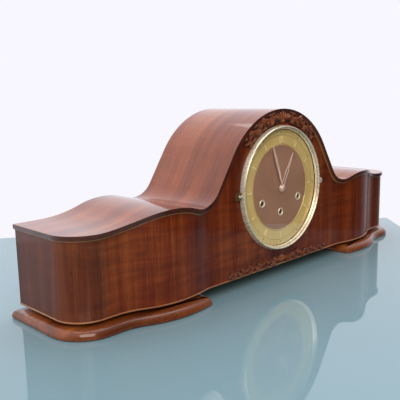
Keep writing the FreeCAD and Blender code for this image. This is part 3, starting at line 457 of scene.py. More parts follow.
ROSE_DISC = Lacquer("rose_disc", (0.350, 0.172, 0.105), (0.430, 0.225, 0.140), (640, 640, 640), 0.34, 0.25)
SHEET_BRASS = Metal("dial_sheet", (0.62, 0.52, 0.30), (0.44, 0.34, 0.17), 0.35)
MOVEMENT_BRASS = Metal("movement_brass", (0.78, 0.60, 0.28), (0.56, 0.39, 0.15), 0.24, (900, 120, 120))
STEEL = Metal("bright_steel", (0.62, 0.63, 0.66), (0.42, 0.43, 0.45), 0.2, (200, 900, 900))
IRON = Metal("black_iron", (0.10, 0.10, 0.105), (0.045, 0.045, 0.05), 0.5, (300, 300, 300), 0.4)
ROD_BRONZE = Metal("rod_bronze", (0.50, 0.31, 0.14), (0.33, 0.19, 0.08), 0.3, (90, 900, 900))
GLASS = Pane("clear_glass")


@lru_cache(maxsize=None)
def made(finish: object) -> bpy.types.Material:
    """Build a finish's material once.

    Args:
        finish: one of the finishes above.

    Returns:
        Its material.
    """
    return finish.material()


# ---------------------------------------------------------------- pieces

def stand(name: str, bm: Shape, finishes: Sequence[object], body: str,
          replaced: Sequence[str] = (), sharp: float = 40.0) -> Piece:
    """Turn a finished bmesh into a piece that rides on a body.

    Args:
        name: the piece's name.
        bm: its shape, in metres, in place; freed here.
        finishes: its finishes, in slot order.
        body: the body that carries it.
        replaced: CAD nodes that it stands for.
        sharp: edges steeper than this many degrees stay crisp.

    Returns:
        The piece.
    """
    bm.edges.index_update()
    rims = [edge.index for edge in bm.edges if edge.is_boundary]
    mesh = bpy.data.meshes.new(name)
    bm.to_mesh(mesh)
    bm.free()
    for face in mesh.polygons:
        face.use_smooth = True
    mesh.set_sharp_from_angle(angle=math.radians(sharp))
    for index in rims:
        mesh.edges[index].use_edge_sharp = True
    for finish in finishes:
        mesh.materials.append(made(finish))
    piece = bpy.data.objects.new(name, mesh)
    bpy.context.scene.collection.objects.link(piece)
    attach(piece, body)
    if replaced:
        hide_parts(*replaced)
    LOG.info("%s: %d faces on %s", name, len(mesh.polygons), body)
    return piece


def laid(columns: Sequence[Sequence[Vector]]) -> Shape:
    """Lay a grid over columns of points.

    Args:
        columns: equally long lists of points, side by side.

    Returns:
        The sheet.
    """
    bm = bmesh.new()
    across = len(columns) - 1
    along = len(columns[0]) - 1
    bmesh.ops.create_grid(bm, x_segments=across, y_segments=along, size=1)
    for vert in bm.verts:
        column = round((vert.co.x + 1) / 2 * across)
        row = round((vert.co.y + 1) / 2 * along)
        vert.co = columns[column][row]
    return bm


def face_towards(bm: Shape, judge: Callable[[bmesh.types.BMFace], bool]) -> None:
    """Flip a sheet if its first face looks the wrong way.

    Args:
        bm: the sheet.
        judge: says whether a face looks outwards.
    """
    bm.normal_update()
    bm.faces.ensure_lookup_table()
    if not judge(bm.faces[len(bm.faces) // 2]):
        bmesh.ops.reverse_faces(bm, faces=bm.faces[:])


def joined(parts: Iterable[Shape], gap: float = 0.0) -> Shape:
    """Put several shapes into one bmesh.

    Args:
        parts: the shapes, freed here.
        gap: points nearer than this are merged.

    Returns:
        The joined shape.
    """
    whole = bmesh.new()
    for part in parts:
        carrier = bpy.data.meshes.new("carrier")
        part.to_mesh(carrier)
        part.free()
        whole.from_mesh(carrier)
        bpy.data.meshes.remove(carrier)
    if gap:
        bmesh.ops.remove_doubles(whole, verts=whole.verts[:], dist=gap)
    return whole


def spun(profile: Outline, centre: Vector, steps: int = 96,
         closed: bool = True) -> Shape:
    """Turn a profile of (radius, y) points about an axis along Y.

    Args:
        profile: the outline's points in metres.
        centre: a point on the axis; its y is added to the profile's.
        steps: how many segments the turn has.
        closed: whether the outline joins up with its start.

    Returns:
        The turned shape, with its faces outwards.
    """
    bm = bmesh.new()
    verts = [bm.verts.new((centre.x + radius, centre.y + y, centre.z)) for radius, y in profile]
    pairs = list(zip(verts, verts[1:]))
    if closed:
        pairs.append((verts[-1], verts[0]))
    edges = [bm.edges.new(pair) for pair in pairs]
    bmesh.ops.spin(bm, geom=verts + edges, cent=centre, axis=(0, 1, 0), angle=2 * math.pi, steps=steps,
                   use_merge=True, use_duplicate=False)
    bmesh.ops.remove_doubles(bm, verts=bm.verts[:], dist=1e-6)
    bmesh.ops.recalc_face_normals(bm, faces=bm.faces[:])
    return bm


def slabbed(outline: Outline, low: float, high: float) -> Shape:
    """Raise a plan outline into a solid block.

    Args:
        outline: the outline's points.
        low: the height that it starts from.
        high: the height that it reaches.

    Returns:
        The closed block.
    """
    bm = bmesh.new()
    ground = bm.faces.new([bm.verts.new((x, y, low)) for x, y in outline])
    top = bmesh.ops.extrude_face_region(bm, geom=[ground])
    raised = [item for item in top["geom"] if isinstance(item, bmesh.types.BMVert)]
    bmesh.ops.translate(bm, verts=raised, vec=(0, 0, high - low))
    if len([face for face in bm.faces if len(face.verts) == len(outline)]) < 2:
        bm.faces.new([vert for vert in bm.verts if vert not in raised])
    bmesh.ops.recalc_face_normals(bm, faces=bm.faces[:])
    return bm


def eased(bm: Shape, edges: Sequence[bmesh.types.BMEdge], width: float, segments: int) -> None:
    """Round some edges of a shape.

    Args:
        bm: the shape.
        edges: the edges to round.
        width: the rounding's width.
        segments: how many steps it has.
    """
    bmesh.ops.bevel(bm, geom=edges, offset=width, segments=segments, profile=0.5, affect="EDGES", material=-1,
                    clamp_overlap=False)


def block(sizes: Stretch, segments: int) -> Shape:
    """A small block at the origin with rounded edges."""
    bm = bmesh.new()
    bmesh.ops.create_cube(bm, size=1, matrix=Matrix.Diagonal((*sizes, 1)))
    eased(bm, bm.edges[:], 0.0002, segments)
    return bm


def rounded(piece: Piece, width: float, segments: int = 3, angle: float = 40.0) -> None:
    """Round a piece's sharp edges with a live bevel.

    Args:
        piece: the piece.
        width: the rounding's width.
        segments: how many steps it has.
        angle: edges steeper than this many degrees are rounded.
    """
    soften = piece.modifiers.new("soften", "BEVEL")
    soften.width = width
    soften.segments = segments
    soften.limit_method = "ANGLE"
    soften.angle_limit = math.radians(angle)
    soften.harden_normals = True


def walled(piece: Piece, thickness: float, rim: int = 0) -> None:
    """Thicken a sheet inwards.

    Args:
        piece: the piece.
        thickness: the wall.
        rim: how many material slots further on the rim's finish is.
    """
    wall = piece.modifiers.new("wall", "SOLIDIFY")
    wall.thickness = thickness
    wall.offset = -1
    wall.use_even_offset = True
    wall.material_offset_rim = rim


# ---------------------------------------------------------------- lines of the case

@dataclass(frozen=True)
class Span:
    """A straight run, or an arc that bends to the left for a positive angle."""

    size: float
    bend: float = 0.0


@dataclass
class Line:
    """A chain of spans, sampled densely so that it can be read at any x."""

    points: list[tuple[float, float]] = field(default_factory=list)

    @classmethod
    def follow(cls, start: tuple[float, float], spans: Sequence[Span], offset: float) -> "Line":
        """Walk along spans, shifted to the left by an offset.

        Args:
            start: where the line begins, heading along x.
            spans: the runs and arcs.
            offset: the shift to the left.

        Returns:
            The sampled line.
        """
        heading = 0.0
        x, y = start[0], start[1] + offset
        points = [(x, y)]
        for span in spans:
            if span.bend == 0:
                x, y = x + span.size * math.cos(heading), y + span.size * math.sin(heading)
                points.append((x, y))
                continue
            side = math.copysign(1, span.bend)
            radius = span.size - side * offset
            swing = side * radius
            middle_x, middle_y = x - swing * math.sin(heading), y + swing * math.cos(heading)
            count = max(8, int(abs(span.bend) * 4))
            for step in range(1, count + 1):
                turn = heading + math.radians(span.bend) * step / count
                points.append((middle_x + swing * math.sin(turn), middle_y - swing * math.cos(turn)))
            heading += math.radians(span.bend)
            x, y = points[-1]
        return cls(points)

    def at(self, x: float) -> float:
        """The line's second number at an x, the same on both sides of the middle."""
        x = abs(x)
        places = [point[0] for point in self.points]
        index = min(max(1, bisect.bisect_left(places, x)), len(places) - 1)
        (left, low), (right, high) = self.points[index - 1], self.points[index]
        share = 0 if right - left < 1e-12 else min(1.0, max(0.0, (x - left) / (right - left)))
        return low + (high - low) * share

    def slope(self, x: float) -> float:
        """The line's slope at an x."""
        return (self.at(x + 2e-4) - self.at(x - 2e-4)) / 4e-4


@dataclass
class CaseLines:
    """The hat outline seen from the front and the serpentine plan, in metres."""

    crown_height: float = 0.231
    crown_radius: float = 0.119
    flank_angle: float = 57.0
    valley_radius: float = 0.034
    rise_angle: float = 19.5
    hump_radius: float = 0.114
    fall_angle: float = 19.3
    tail_radius: float = 0.161
    wing_height: float = 0.111
    front_flat: float = 0.140
    break_radius: float = 0.060
    bulge_angle: float = 14.25
    bulge_radius: float = 0.167
    sweep_angle: float = 26.1
    sweep_radius: float = 0.110
    return_radius: float = 0.081
    corner_radius: float = 0.036
    half: float = 0.330
    front: float = 0.0
    back: float = 0.0
    foot: float = 0.015

    def hat(self, inset: float) -> Line:
        """The hat's right half, moved inwards.

        Args:
            inset: how far in.

        Returns:
            The line of heights over x.
        """
        angles = (self.flank_angle, self.rise_angle, self.fall_angle)
        flank, rise, fall = (math.radians(angle) for angle in angles)
        drop = self.crown_radius * (1 - math.cos(flank))
        drop += self.valley_radius * (math.cos(rise) - math.cos(flank))
        drop += self.hump_radius * (math.cos(rise) - math.cos(fall))
        drop += self.tail_radius * (1 - math.cos(fall))
        straight = (self.crown_height - self.wing_height - drop) / math.sin(flank)
        spans = (
            Span(self.crown_radius, -self.flank_angle),
            Span(straight),
            Span(self.valley_radius, self.flank_angle + self.rise_angle),
            Span(self.hump_radius, -self.rise_angle - self.fall_angle),
            Span(self.tail_radius, self.fall_angle),
            Span(0.2),
        )
        return Line.follow((0, self.crown_height), spans, -inset)

    def plan(self, offset: float) -> Line:
        """The front's right half in plan, moved outwards, as reach in front of the flat middle.

        Args:
            offset: how far out.

        Returns:
            The line of reaches over x, as far as the corner's end.
        """
        bulge, sweep = math.radians(self.bulge_angle), math.radians(self.sweep_angle)
        gap = self.half - self.corner_radius - self.front_flat
        gap -= (self.break_radius + self.bulge_radius) * math.sin(bulge)
        gap -= (self.sweep_radius + self.return_radius) * math.sin(sweep)
        spans = (
            Span(self.front_flat),
            Span(self.break_radius, self.bulge_angle),
            Span(self.bulge_radius, -self.bulge_angle),
            Span(self.sweep_radius, -self.sweep_angle),
            Span(self.return_radius, self.sweep_angle),
            Span(gap),
            Span(self.corner_radius, -90),
        )
        return Line.follow((0, 0), spans, offset)

    def stations(self, low: float, high: float) -> list[float]:
        """Places along x that are close together where the case curves most.

        Args:
            low: the first place.
            high: the last place.

        Returns:
            The places in order.
        """
        places = [low]
        while places[-1] < high:
            x = abs(places[-1])
            tight = 0.085 < x < 0.160
            places.append(places[-1] + (0.0013 if tight else 0.0036))
        places[-1] = high
        return places


# ---------------------------------------------------------------- case

@dataclass
class VeneeredCase:
    """The veneered front, ends and cover with the fine beads between them."""

    lines: CaseLines
    cover_wall: float = 0.005
    overhang: float = 0.0025
    panel_wall: float = 0.012
    bead_width: float = 0.0020
    bead_depth: float = 0.0010
    seam: float = 0.288
    flat_edge: float = 0.132
    dial_hole: float = 0.0815
    dial_height: float = DIAL_HEIGHT

    def heights(self, top: float, rows: int) -> list[float]:
        """Evenly spaced heights from the case's foot to a top."""
        return [self.lines.foot + (top - self.lines.foot) * row / rows for row in range(rows + 1)]

    def build(self) -> None:
        """Build every wooden shell piece."""
        self.cover()
        self.front_panel()
        for side, name in ((-1, "left_end_panel"), (1, "right_end_panel")):
            self.end_panel(side, name)
        self.beads()

    def cover(self) -> None:
        """The moulded cover, one sheet bent over the whole case with a dark rounded rim."""
        hat = self.lines.hat(0)
        plan = self.lines.plan(self.overhang)
        corner = self.lines.half - self.lines.corner_radius
        reach = self.lines.corner_radius + self.overhang
        turns = [math.radians(4 * step) for step in range(1, 24)]
        turns = [turn for turn in turns if turn < math.pi / 2] + [math.pi / 2]
        ends = [corner + reach * math.sin(turn) for turn in turns]
        places = [-x for x in reversed(ends)] + self.lines.stations(-corner, corner) + ends
        columns = []
        for x in places:
            near = self.lines.front - plan.at(x)
            far = self.lines.back
            columns.append([Vector((x, near + (far - near) * row / 12, hat.at(x))) for row in range(13)])
        bm = laid(columns)
        face_towards(bm, lambda face: face.normal.z > 0)
        piece = stand("cover_shell_veneer", bm, (COVER_VENEER, COVER_EDGE), "case",
                      ("cover_shell",), 70)
        walled(piece, self.cover_wall, 1)
        rounded(piece, 0.0017, 4)

    def wall_point(self, x: float, z: float, plan: Line, proud: float = 0.0) -> Vector:
        """A place on the front's surface.

        Args:
            x: along the case.
            z: the height.
            plan: the front's plan.
            proud: how far out of the surface.

        Returns:
            The place.
        """
        slope = plan.slope(x)
        size = math.hypot(1, slope)
        return Vector((x - proud * slope / size, self.lines.front - plan.at(x) - proud / size, z))

    def front_panel(self) -> None:
        """The serpentine front in one sheet, with the dial's opening in its flat middle."""
        hat = self.lines.hat(self.cover_wall)
        plan = self.lines.plan(0)
        sheets = []
        sides = {}
        for side in (-1, 1):
            places = [side * x for x in self.lines.stations(self.flat_edge, self.seam)]
            columns = []
            for x in places:
                columns.append([self.wall_point(x, z, plan) for z in self.heights(hat.at(x), 20)])
            sides[side] = columns[0]
            sheets.append(laid(columns))
            face_towards(sheets[-1], lambda face: face.normal.y < 0)
        middle = bmesh.new()
        crown = self.lines.stations(-self.flat_edge, self.flat_edge)[1:-1]
        sill = [self.flat_edge * (1 - step / 8) for step in range(1, 16)]
        outline = list(sides[-1]) + [self.wall_point(x, hat.at(x), plan) for x in crown]
        outline += list(reversed(sides[1])) + [self.wall_point(x, self.lines.foot, plan) for x in sill]
        rim = [middle.verts.new(point) for point in outline]
        for first, second in zip(rim[-1:] + rim, rim):
            middle.edges.new((first, second))
        bmesh.ops.create_circle(middle, segments=128, radius=self.dial_hole,
                                matrix=Matrix.Translation((0, self.lines.front, self.dial_height))
                                @ Matrix.Rotation(math.pi / 2, 4, "X"))
        bmesh.ops.triangle_fill(middle, use_beauty=True, use_dissolve=False, edges=middle.edges[:])
        face_towards(middle, lambda face: face.normal.y < 0)
        bm = joined(sheets + [middle], MERGE_GAP)
        piece = stand("front_panel_veneer", bm, (FRONT_VENEER,), "case", ("front_panel",), 60)
        walled(piece, self.panel_wall)

    def corner_walk(self, side: int, proud: float, start: float) -> list[tuple[Vector, Vector]]:
        """Places and outward directions round one corner and back along the end.

        Args:
            side: -1 for the left end, 1 for the right.
            proud: how far out of the surface.
            start: the x that the walk starts from.

        Returns:
            Pairs of place at height zero and direction.
        """
        corner = self.lines.half - self.lines.corner_radius
        plan = self.lines.plan(0)
        centre_y = self.lines.front - plan.at(corner) + self.lines.corner_radius
        walk = [(Vector((start, self.lines.front - plan.at(start), 0)), Vector((0, -1, 0)))]
        for step in range(CORNER_STEPS + 1):
            turn = math.radians(CORNER_TURN * step)
            out = Vector((math.sin(turn), -math.cos(turn), 0))
            walk.append((Vector((corner, centre_y, 0)) + out * self.lines.corner_radius, out))
        for step in range(1, 9):
            y = centre_y + (self.lines.back - centre_y) * step / 8
            walk.append((Vector((self.lines.half, y, 0)), Vector((1, 0, 0))))
        flip = Vector((side, 1, 1))
        return [((place + out * proud) * flip, out * flip) for place, out in walk]

    def end_panel(self, side: int, name: str) -> None:
        """One end, bent round its front corner.

        Args:
            side: -1 for the left end, 1 for the right.
            name: the CAD node that it stands for.
        """
        hat = self.lines.hat(self.cover_wall)
        columns = []
        for place, out in self.corner_walk(side, 0, self.seam):
            columns.append([Vector((place.x, place.y, z)) for z in self.heights(hat.at(place.x), 10)])
        bm = laid(columns)
        face_towards(bm, lambda face: face.normal.x * side > 0 or face.normal.y < -0.5)
        piece = stand(f"{name}_veneer", bm, (END_VENEER,), "case", (name,), 60)
        walled(piece, self.panel_wall)

    def bead(self, name: str, level: Callable[[float], tuple[float, float]]) -> None:
        """A half-round bead round the ends and the front.

        Args:
            name: the CAD node that it stands for.
            level: gives the bead's middle height and its slope at an x.
        """
        plan = self.lines.plan(0)
        turns = [math.radians(15 * step) for step in range(13)]
        half = self.bead_width / 2
        rings = []
        for side in (-1, 1):
            ring = []
            for place, out in self.corner_walk(side, 0, self.seam):
                middle = level(place.x)[0]
                ring.append([place + out * (self.bead_depth * math.sin(turn))
                             + Vector((0, 0, middle + half * math.cos(turn))) for turn in turns])
            rings.append(ring)
        front = []
        for x in self.lines.stations(-self.seam, self.seam)[1:-1]:
            middle, slope = level(x)
            size = math.hypot(1, slope)
            column = []
            for turn in turns:
                step = half * math.cos(turn)
                column.append(self.wall_point(x - step * slope / size, middle + step / size, plan,
                                              self.bead_depth * math.sin(turn)))
            front.append(column)
        bm = laid(list(reversed(rings[0])) + front + rings[1])
        bmesh.ops.recalc_face_normals(bm, faces=bm.faces[:])
        face_towards(bm, lambda face: face.normal.y < 0)
        stand(f"{name}_strip", bm, (BOXWOOD,), "case", (name,), 80)

    def beads(self) -> None:
        """The bead under the cover and the bead along the foot of the front."""
        under = self.lines.hat(self.cover_wall + self.bead_width / 2)
        self.bead("cover_bead", lambda x: (under.at(x), under.slope(x)))
        low = self.lines.foot + self.bead_width / 2
        self.bead("base_bead", lambda x: (low, 0.0))


@dataclass
class Feet:
    """Two plinths under the wings, each a bullnosed slab with a set-back riser."""

    lines: CaseLines
    offset: float = 0.0105
    forward: float = 0.0025
    start: float = 0.152
    height: float = 0.011
    riser_inset: float = 0.012
    back_reach: float = 0.003
    toe: float = 0.036
    nose: float = 0.0088
    under: float = 0.0018

    def outline(self, side: int, start: float, offset: float, forward: float, back: float) -> Outline:
        """The plan of a slab under one wing.

        Args:
            side: -1 for the left, 1 for the right.
            start: the slab's inner end.
            offset: how far outside the case.
            forward: a further move to the front.
            back: the y of its back edge.

        Returns:
            The plan's corners in order.
        """
        plan = self.lines.plan(offset)
        corner = self.lines.half - self.lines.corner_radius
        reach = self.lines.corner_radius + offset
        places = self.lines.stations(start, corner)[::2] + [corner]
        turns = [math.radians(CORNER_TURN * step) for step in range(1, CORNER_STEPS + 1)]
        places += [corner + reach * math.sin(turn) for turn in turns]
        points = [(x, self.lines.front - forward - plan.at(x)) for x in places]
        points += [(points[-1][0], back), (start, back)]
        return [(side * x, y) for x, y in points]

    def build(self) -> None:
        """Build both feet."""
        for side, name in ((-1, "left_foot"), (1, "right_foot")):
            back = self.lines.back + self.back_reach
            points = self.outline(side, self.start, self.offset, self.forward, back)
            sole = slabbed(points, 0, self.height)
            toes = [edge for edge in sole.edges
                    if abs(edge.verts[0].co.z - edge.verts[1].co.z) > CLOSE
                    and abs(abs(edge.verts[0].co.x) - self.start) < CLOSE]
            eased(sole, toes, self.toe, 10)
            bmesh.ops.remove_doubles(sole, verts=sole.verts[:], dist=MERGE_GAP)
            for level, width, segments in ((self.height, self.nose, 8), (0.0, self.under, 3)):
                edges = [edge for edge in sole.edges if len(edge.link_faces) == 2
                         and all(abs(vert.co.z - level) < 1e-6 for vert in edge.verts)
                         and any(abs(face.normal.z) < 0.5 for face in edge.link_faces)]
                eased(sole, edges, width, segments)
                sole.normal_update()
            inset = -self.riser_inset
            points = self.outline(side, self.start - inset, inset, 0, self.lines.back + inset)
            riser = slabbed(points, self.height - 0.0002, self.lines.foot - 0.0001)
            bm = joined((sole, riser))
            bmesh.ops.recalc_face_normals(bm, faces=bm.faces[:])
            stand(f"{name}_moulded", bm, (FOOT_WOOD,), "case", (name,), 50)


# ---------------------------------------------------------------- carvings

@dataclass
class Carver:
    """Cuts leaves and scrolls on a flat ground and melts them into one carving."""

    front: float
    depth: float
    parts: list[Shape] = field(default_factory=list)

    def leaf(self, x: float, z: float, angle: float, length: float, width: float, height: float) -> None:
        """Add one leaf lobe lying on the ground.

        Args:
            x: the lobe's middle.
            z: the lobe's middle.
            angle: the way that it points, in degrees from +X.
            length: its length.
            width: its width.
            height: how far it stands out.
        """
        bm = bmesh.new()
        place = Matrix.Translation((x, self.front, z)) @ Matrix.Rotation(-math.radians(angle), 4, "Y")
        scale = Matrix.Diagonal((length / 2, height, width / 2, 1))
        bmesh.ops.create_icosphere(bm, subdivisions=3, radius=1, matrix=place @ scale)
        self.parts.append(bm)

    def scroll(self, x: float, z: float, angle: float, size: float, turns: float, hand: int,
               stem: float) -> None:
        """Add a curled stem that winds in to a small eye.

        Args:
            x: the eye's place.
            z: the eye's place.
            angle: where the outer end lies, in degrees from +X.
            size: the outer end's distance from the eye.
            turns: how many turns it makes.
            hand: 1 to wind one way, -1 the other.
            stem: the stem's thickness.
        """
        curve = bpy.data.curves.new("stem", "CURVE")
        curve.dimensions = "3D"
        curve.bevel_depth = 1.0
        curve.bevel_resolution = 3
        curve.use_fill_caps = True
        spline = curve.splines.new("POLY")
        count = int(18 * turns)
        spline.points.add(count)
        for index, point in enumerate(spline.points):
            share = index / count
            turn = math.radians(angle) + hand * 2 * math.pi * turns * (1 - share)
            radius = size * (0.12 + 0.88 * share)
            lift = self.front - self.depth * (0.62 - 0.22 * share) + stem * 0.4
            point.co = (x + radius * math.cos(turn), lift, z + radius * math.sin(turn), 1)
            point.radius = stem * (0.55 + 0.45 * math.sin(math.pi * min(1.0, share * 1.1)))
        holder = bpy.data.objects.new("stem", curve)
        mesh = bpy.data.meshes.new_from_object(holder)
        bm = bmesh.new()
        bm.from_mesh(mesh)
        self.parts.append(bm)
        bpy.data.objects.remove(holder)
        bpy.data.curves.remove(curve)
        bpy.data.meshes.remove(mesh)
        self.leaf(x, z, 0, size * 0.55, size * 0.55, self.depth * 0.8)

    def melted(self, voxel: float, floor: float, near: float, low: float, high: float) -> Shape:
        """Join every leaf and scroll into one smooth closed shape inside its limits.

        Args:
            voxel: the size of the smallest detail.
            floor: the y of its flat back.
            near: the y that it may not pass at the front.
            low: the lowest height allowed.
            high: the highest height allowed.

        Returns:
            The carving.
        """
        bm = joined(self.parts)
        bmesh.ops.bisect_plane(bm, geom=bm.verts[:] + bm.edges[:] + bm.faces[:], plane_co=(0, floor, 0),
                               plane_no=(0, 1, 0), clear_outer=True)
        bmesh.ops.holes_fill(bm, edges=[edge for edge in bm.edges if edge.is_boundary])
        mesh = bpy.data.meshes.new("carving_blank")
        bm.to_mesh(mesh)
        bm.free()
        holder = bpy.data.objects.new("carving_blank", mesh)
        bpy.context.scene.collection.objects.link(holder)
        melt = holder.modifiers.new("melt", "REMESH")
        melt.mode = "VOXEL"
        melt.voxel_size = voxel
        smooth = holder.modifiers.new("rub", "SMOOTH")
        smooth.factor = 0.5
        smooth.iterations = 1
        graph = bpy.context.evaluated_depsgraph_get()
        done = bpy.data.meshes.new_from_object(holder.evaluated_get(graph))
        bm = bmesh.new()
        bm.from_mesh(done)
        bpy.data.objects.remove(holder)
        for spare in (mesh, done):
            bpy.data.meshes.remove(spare)
        for vert in bm.verts:
            vert.co.y = min(max(vert.co.y, near), floor)
            vert.co.z = min(max(vert.co.z, low), high)
        bmesh.ops.recalc_face_normals(bm, faces=bm.faces[:])
        return bm


@dataclass
class Carvings:
    """The crescent of leaves over the dial and the scalloped apron under it."""

    lines: CaseLines
    dial_height: float = DIAL_HEIGHT
    crescent_depth: float = 0.0052
    apron_depth: float = 0.0038
    voxel: float = 0.0006

    def set_on(self, bm: Shape, name: str, depth: float) -> None:
        """Stand a carving on the case, its wood given painted shade in the hollows and a painted highlight on
        the high places.

        Args:
            bm: the carving.
            name: the CAD node that it stands for.
            depth: how far it stands out.
        """
        # the colours are painted shade for the hollows, the wood's face colour and a painted highlight for
        # the high places
        wood = Carved(f"carved_wood_painted_shade_{int(depth * 10000)}", (0.016, 0.003, 0.001), (0.170, 0.033, 0.007),
                      (0.44, 0.115, 0.026), self.lines.front, depth)
        stand(f"{name}_leaves", bm, (wood,), "case", (name,), 180)

    def build(self) -> None:
        """Carve both ornaments."""
        self.crescent()
        self.apron()

    def crescent(self) -> None:
        """A shell at the top with five pairs of curling leaves that shrink to the ends."""
        carver = Carver(self.lines.front, self.crescent_depth)

        def polar(radius: float, angle: float) -> tuple[float, float]:
            """A place from the dial's centre, with the angle from the top in degrees."""
            turn = math.radians(90 - angle)
            return radius * math.cos(turn), self.dial_height + radius * math.sin(turn)

        for step in range(-3, 4):
            x, z = polar(0.0985 - abs(step) * 0.0006, step * 2.3)
            carver.leaf(x, z, 90 - step * 18, 0.0150 - abs(step) * 0.0012, 0.0037, self.crescent_depth * 0.98)
        x, z = polar(0.0915, 0)
        carver.leaf(x, z, 0, 0.0085, 0.0058, self.crescent_depth)
        pairs = ((11.0, 1.0), (20.0, 0.95), (28.5, 0.88), (36.0, 0.76), (42.5, 0.6))
        for side in (-1, 1):
            for index, (angle, size) in enumerate(pairs):
                hand = side * (1 if index % 2 else -1)
                radius = 0.0955 if index % 2 else 0.0985
                x, z = polar(radius, side * angle)
                carver.scroll(x, z, 90 - side * angle + side * 150, 0.0066 * size, 1.3, hand, 0.0019 * size)
                for fan in range(4):
                    along = side * (angle + 2.6 + 1.5 * fan)
                    outer = (0.1025 - 0.0020 * fan) if index % 2 else (0.0925 + 0.0022 * fan)
                    u, v = polar(outer, along)
                    point = 90 - along - hand * (40 + 22 * fan)
                    height = self.crescent_depth * (0.98 - 0.1 * fan)
                    carver.leaf(u, v, point, 0.0112 * size, 0.0038 * size, height)
                for level in (0.0903, 0.1030):
                    u, v = polar(level, side * (angle + 4.0))
                    carver.leaf(u, v, -side * (angle + 4.0), 0.0125 * size, 0.0036, self.crescent_depth * 0.7)
        for step in range(-30, 31):
            x, z = polar(0.0963, step * 1.5)
            carver.leaf(x, z, -step * 1.5, 0.0072, 0.0165 - abs(step) * 0.00025, 0.0013)
        lowest = self.dial_height + 0.05
        bm = carver.melted(self.voxel, self.lines.front, self.lines.front - 0.0055, lowest, 0.2284)
        self.set_on(bm, "top_carving", self.crescent_depth)

    def apron(self) -> None:
        """A central shell with waves of leaves to both sides and a scalloped lower edge."""
        carver = Carver(self.lines.front, self.apron_depth)
        ground = 0.0175
        for step in range(-3, 4):
            out = abs(step)
            carver.leaf(step * 0.0022, ground + 0.0075 - out * 0.0008, 90 - step * 17, 0.0125 - out * 0.001,
                        0.0031, self.apron_depth)
        for side in (-1, 1):
            for index in range(6):
                size = 1 - 0.075 * index
                x = side * (0.0125 + 0.0168 * index)
                level = ground + 0.0072 * size
                sway = 1 if index % 2 else -1
                hand = side * sway
                carver.scroll(x, level, 90 - 60 * hand, 0.0049 * size, 1.25, hand, 0.0014)
                for fan in range(3):
                    u = x + side * (0.0066 + 0.0021 * fan)
                    v = level + (0.0045 - 0.0030 * fan) * sway * size
                    height = self.apron_depth * (0.95 - 0.1 * fan)
                    carver.leaf(u, v, hand * (30 - 22 * fan), 0.0098 * size, 0.0030 * size, height)
                carver.leaf(x + side * 0.004, ground + 0.0008, 0, 0.0145, 0.0042, self.apron_depth * 0.7)
        for step in range(-26, 27):
            size = 1 - abs(step) * 0.013
            carver.leaf(step * 0.0041, ground + 0.0058 * size, 0, 0.0085, 0.0125 * size, 0.0010)
        near = self.lines.front - 0.004
        bm = carver.melted(self.voxel, self.lines.front, near, self.lines.foot + 0.0003, 0.0326)
        self.set_on(bm, "apron_carving", self.apron_depth)


# ---------------------------------------------------------------- dial, bezel and hands

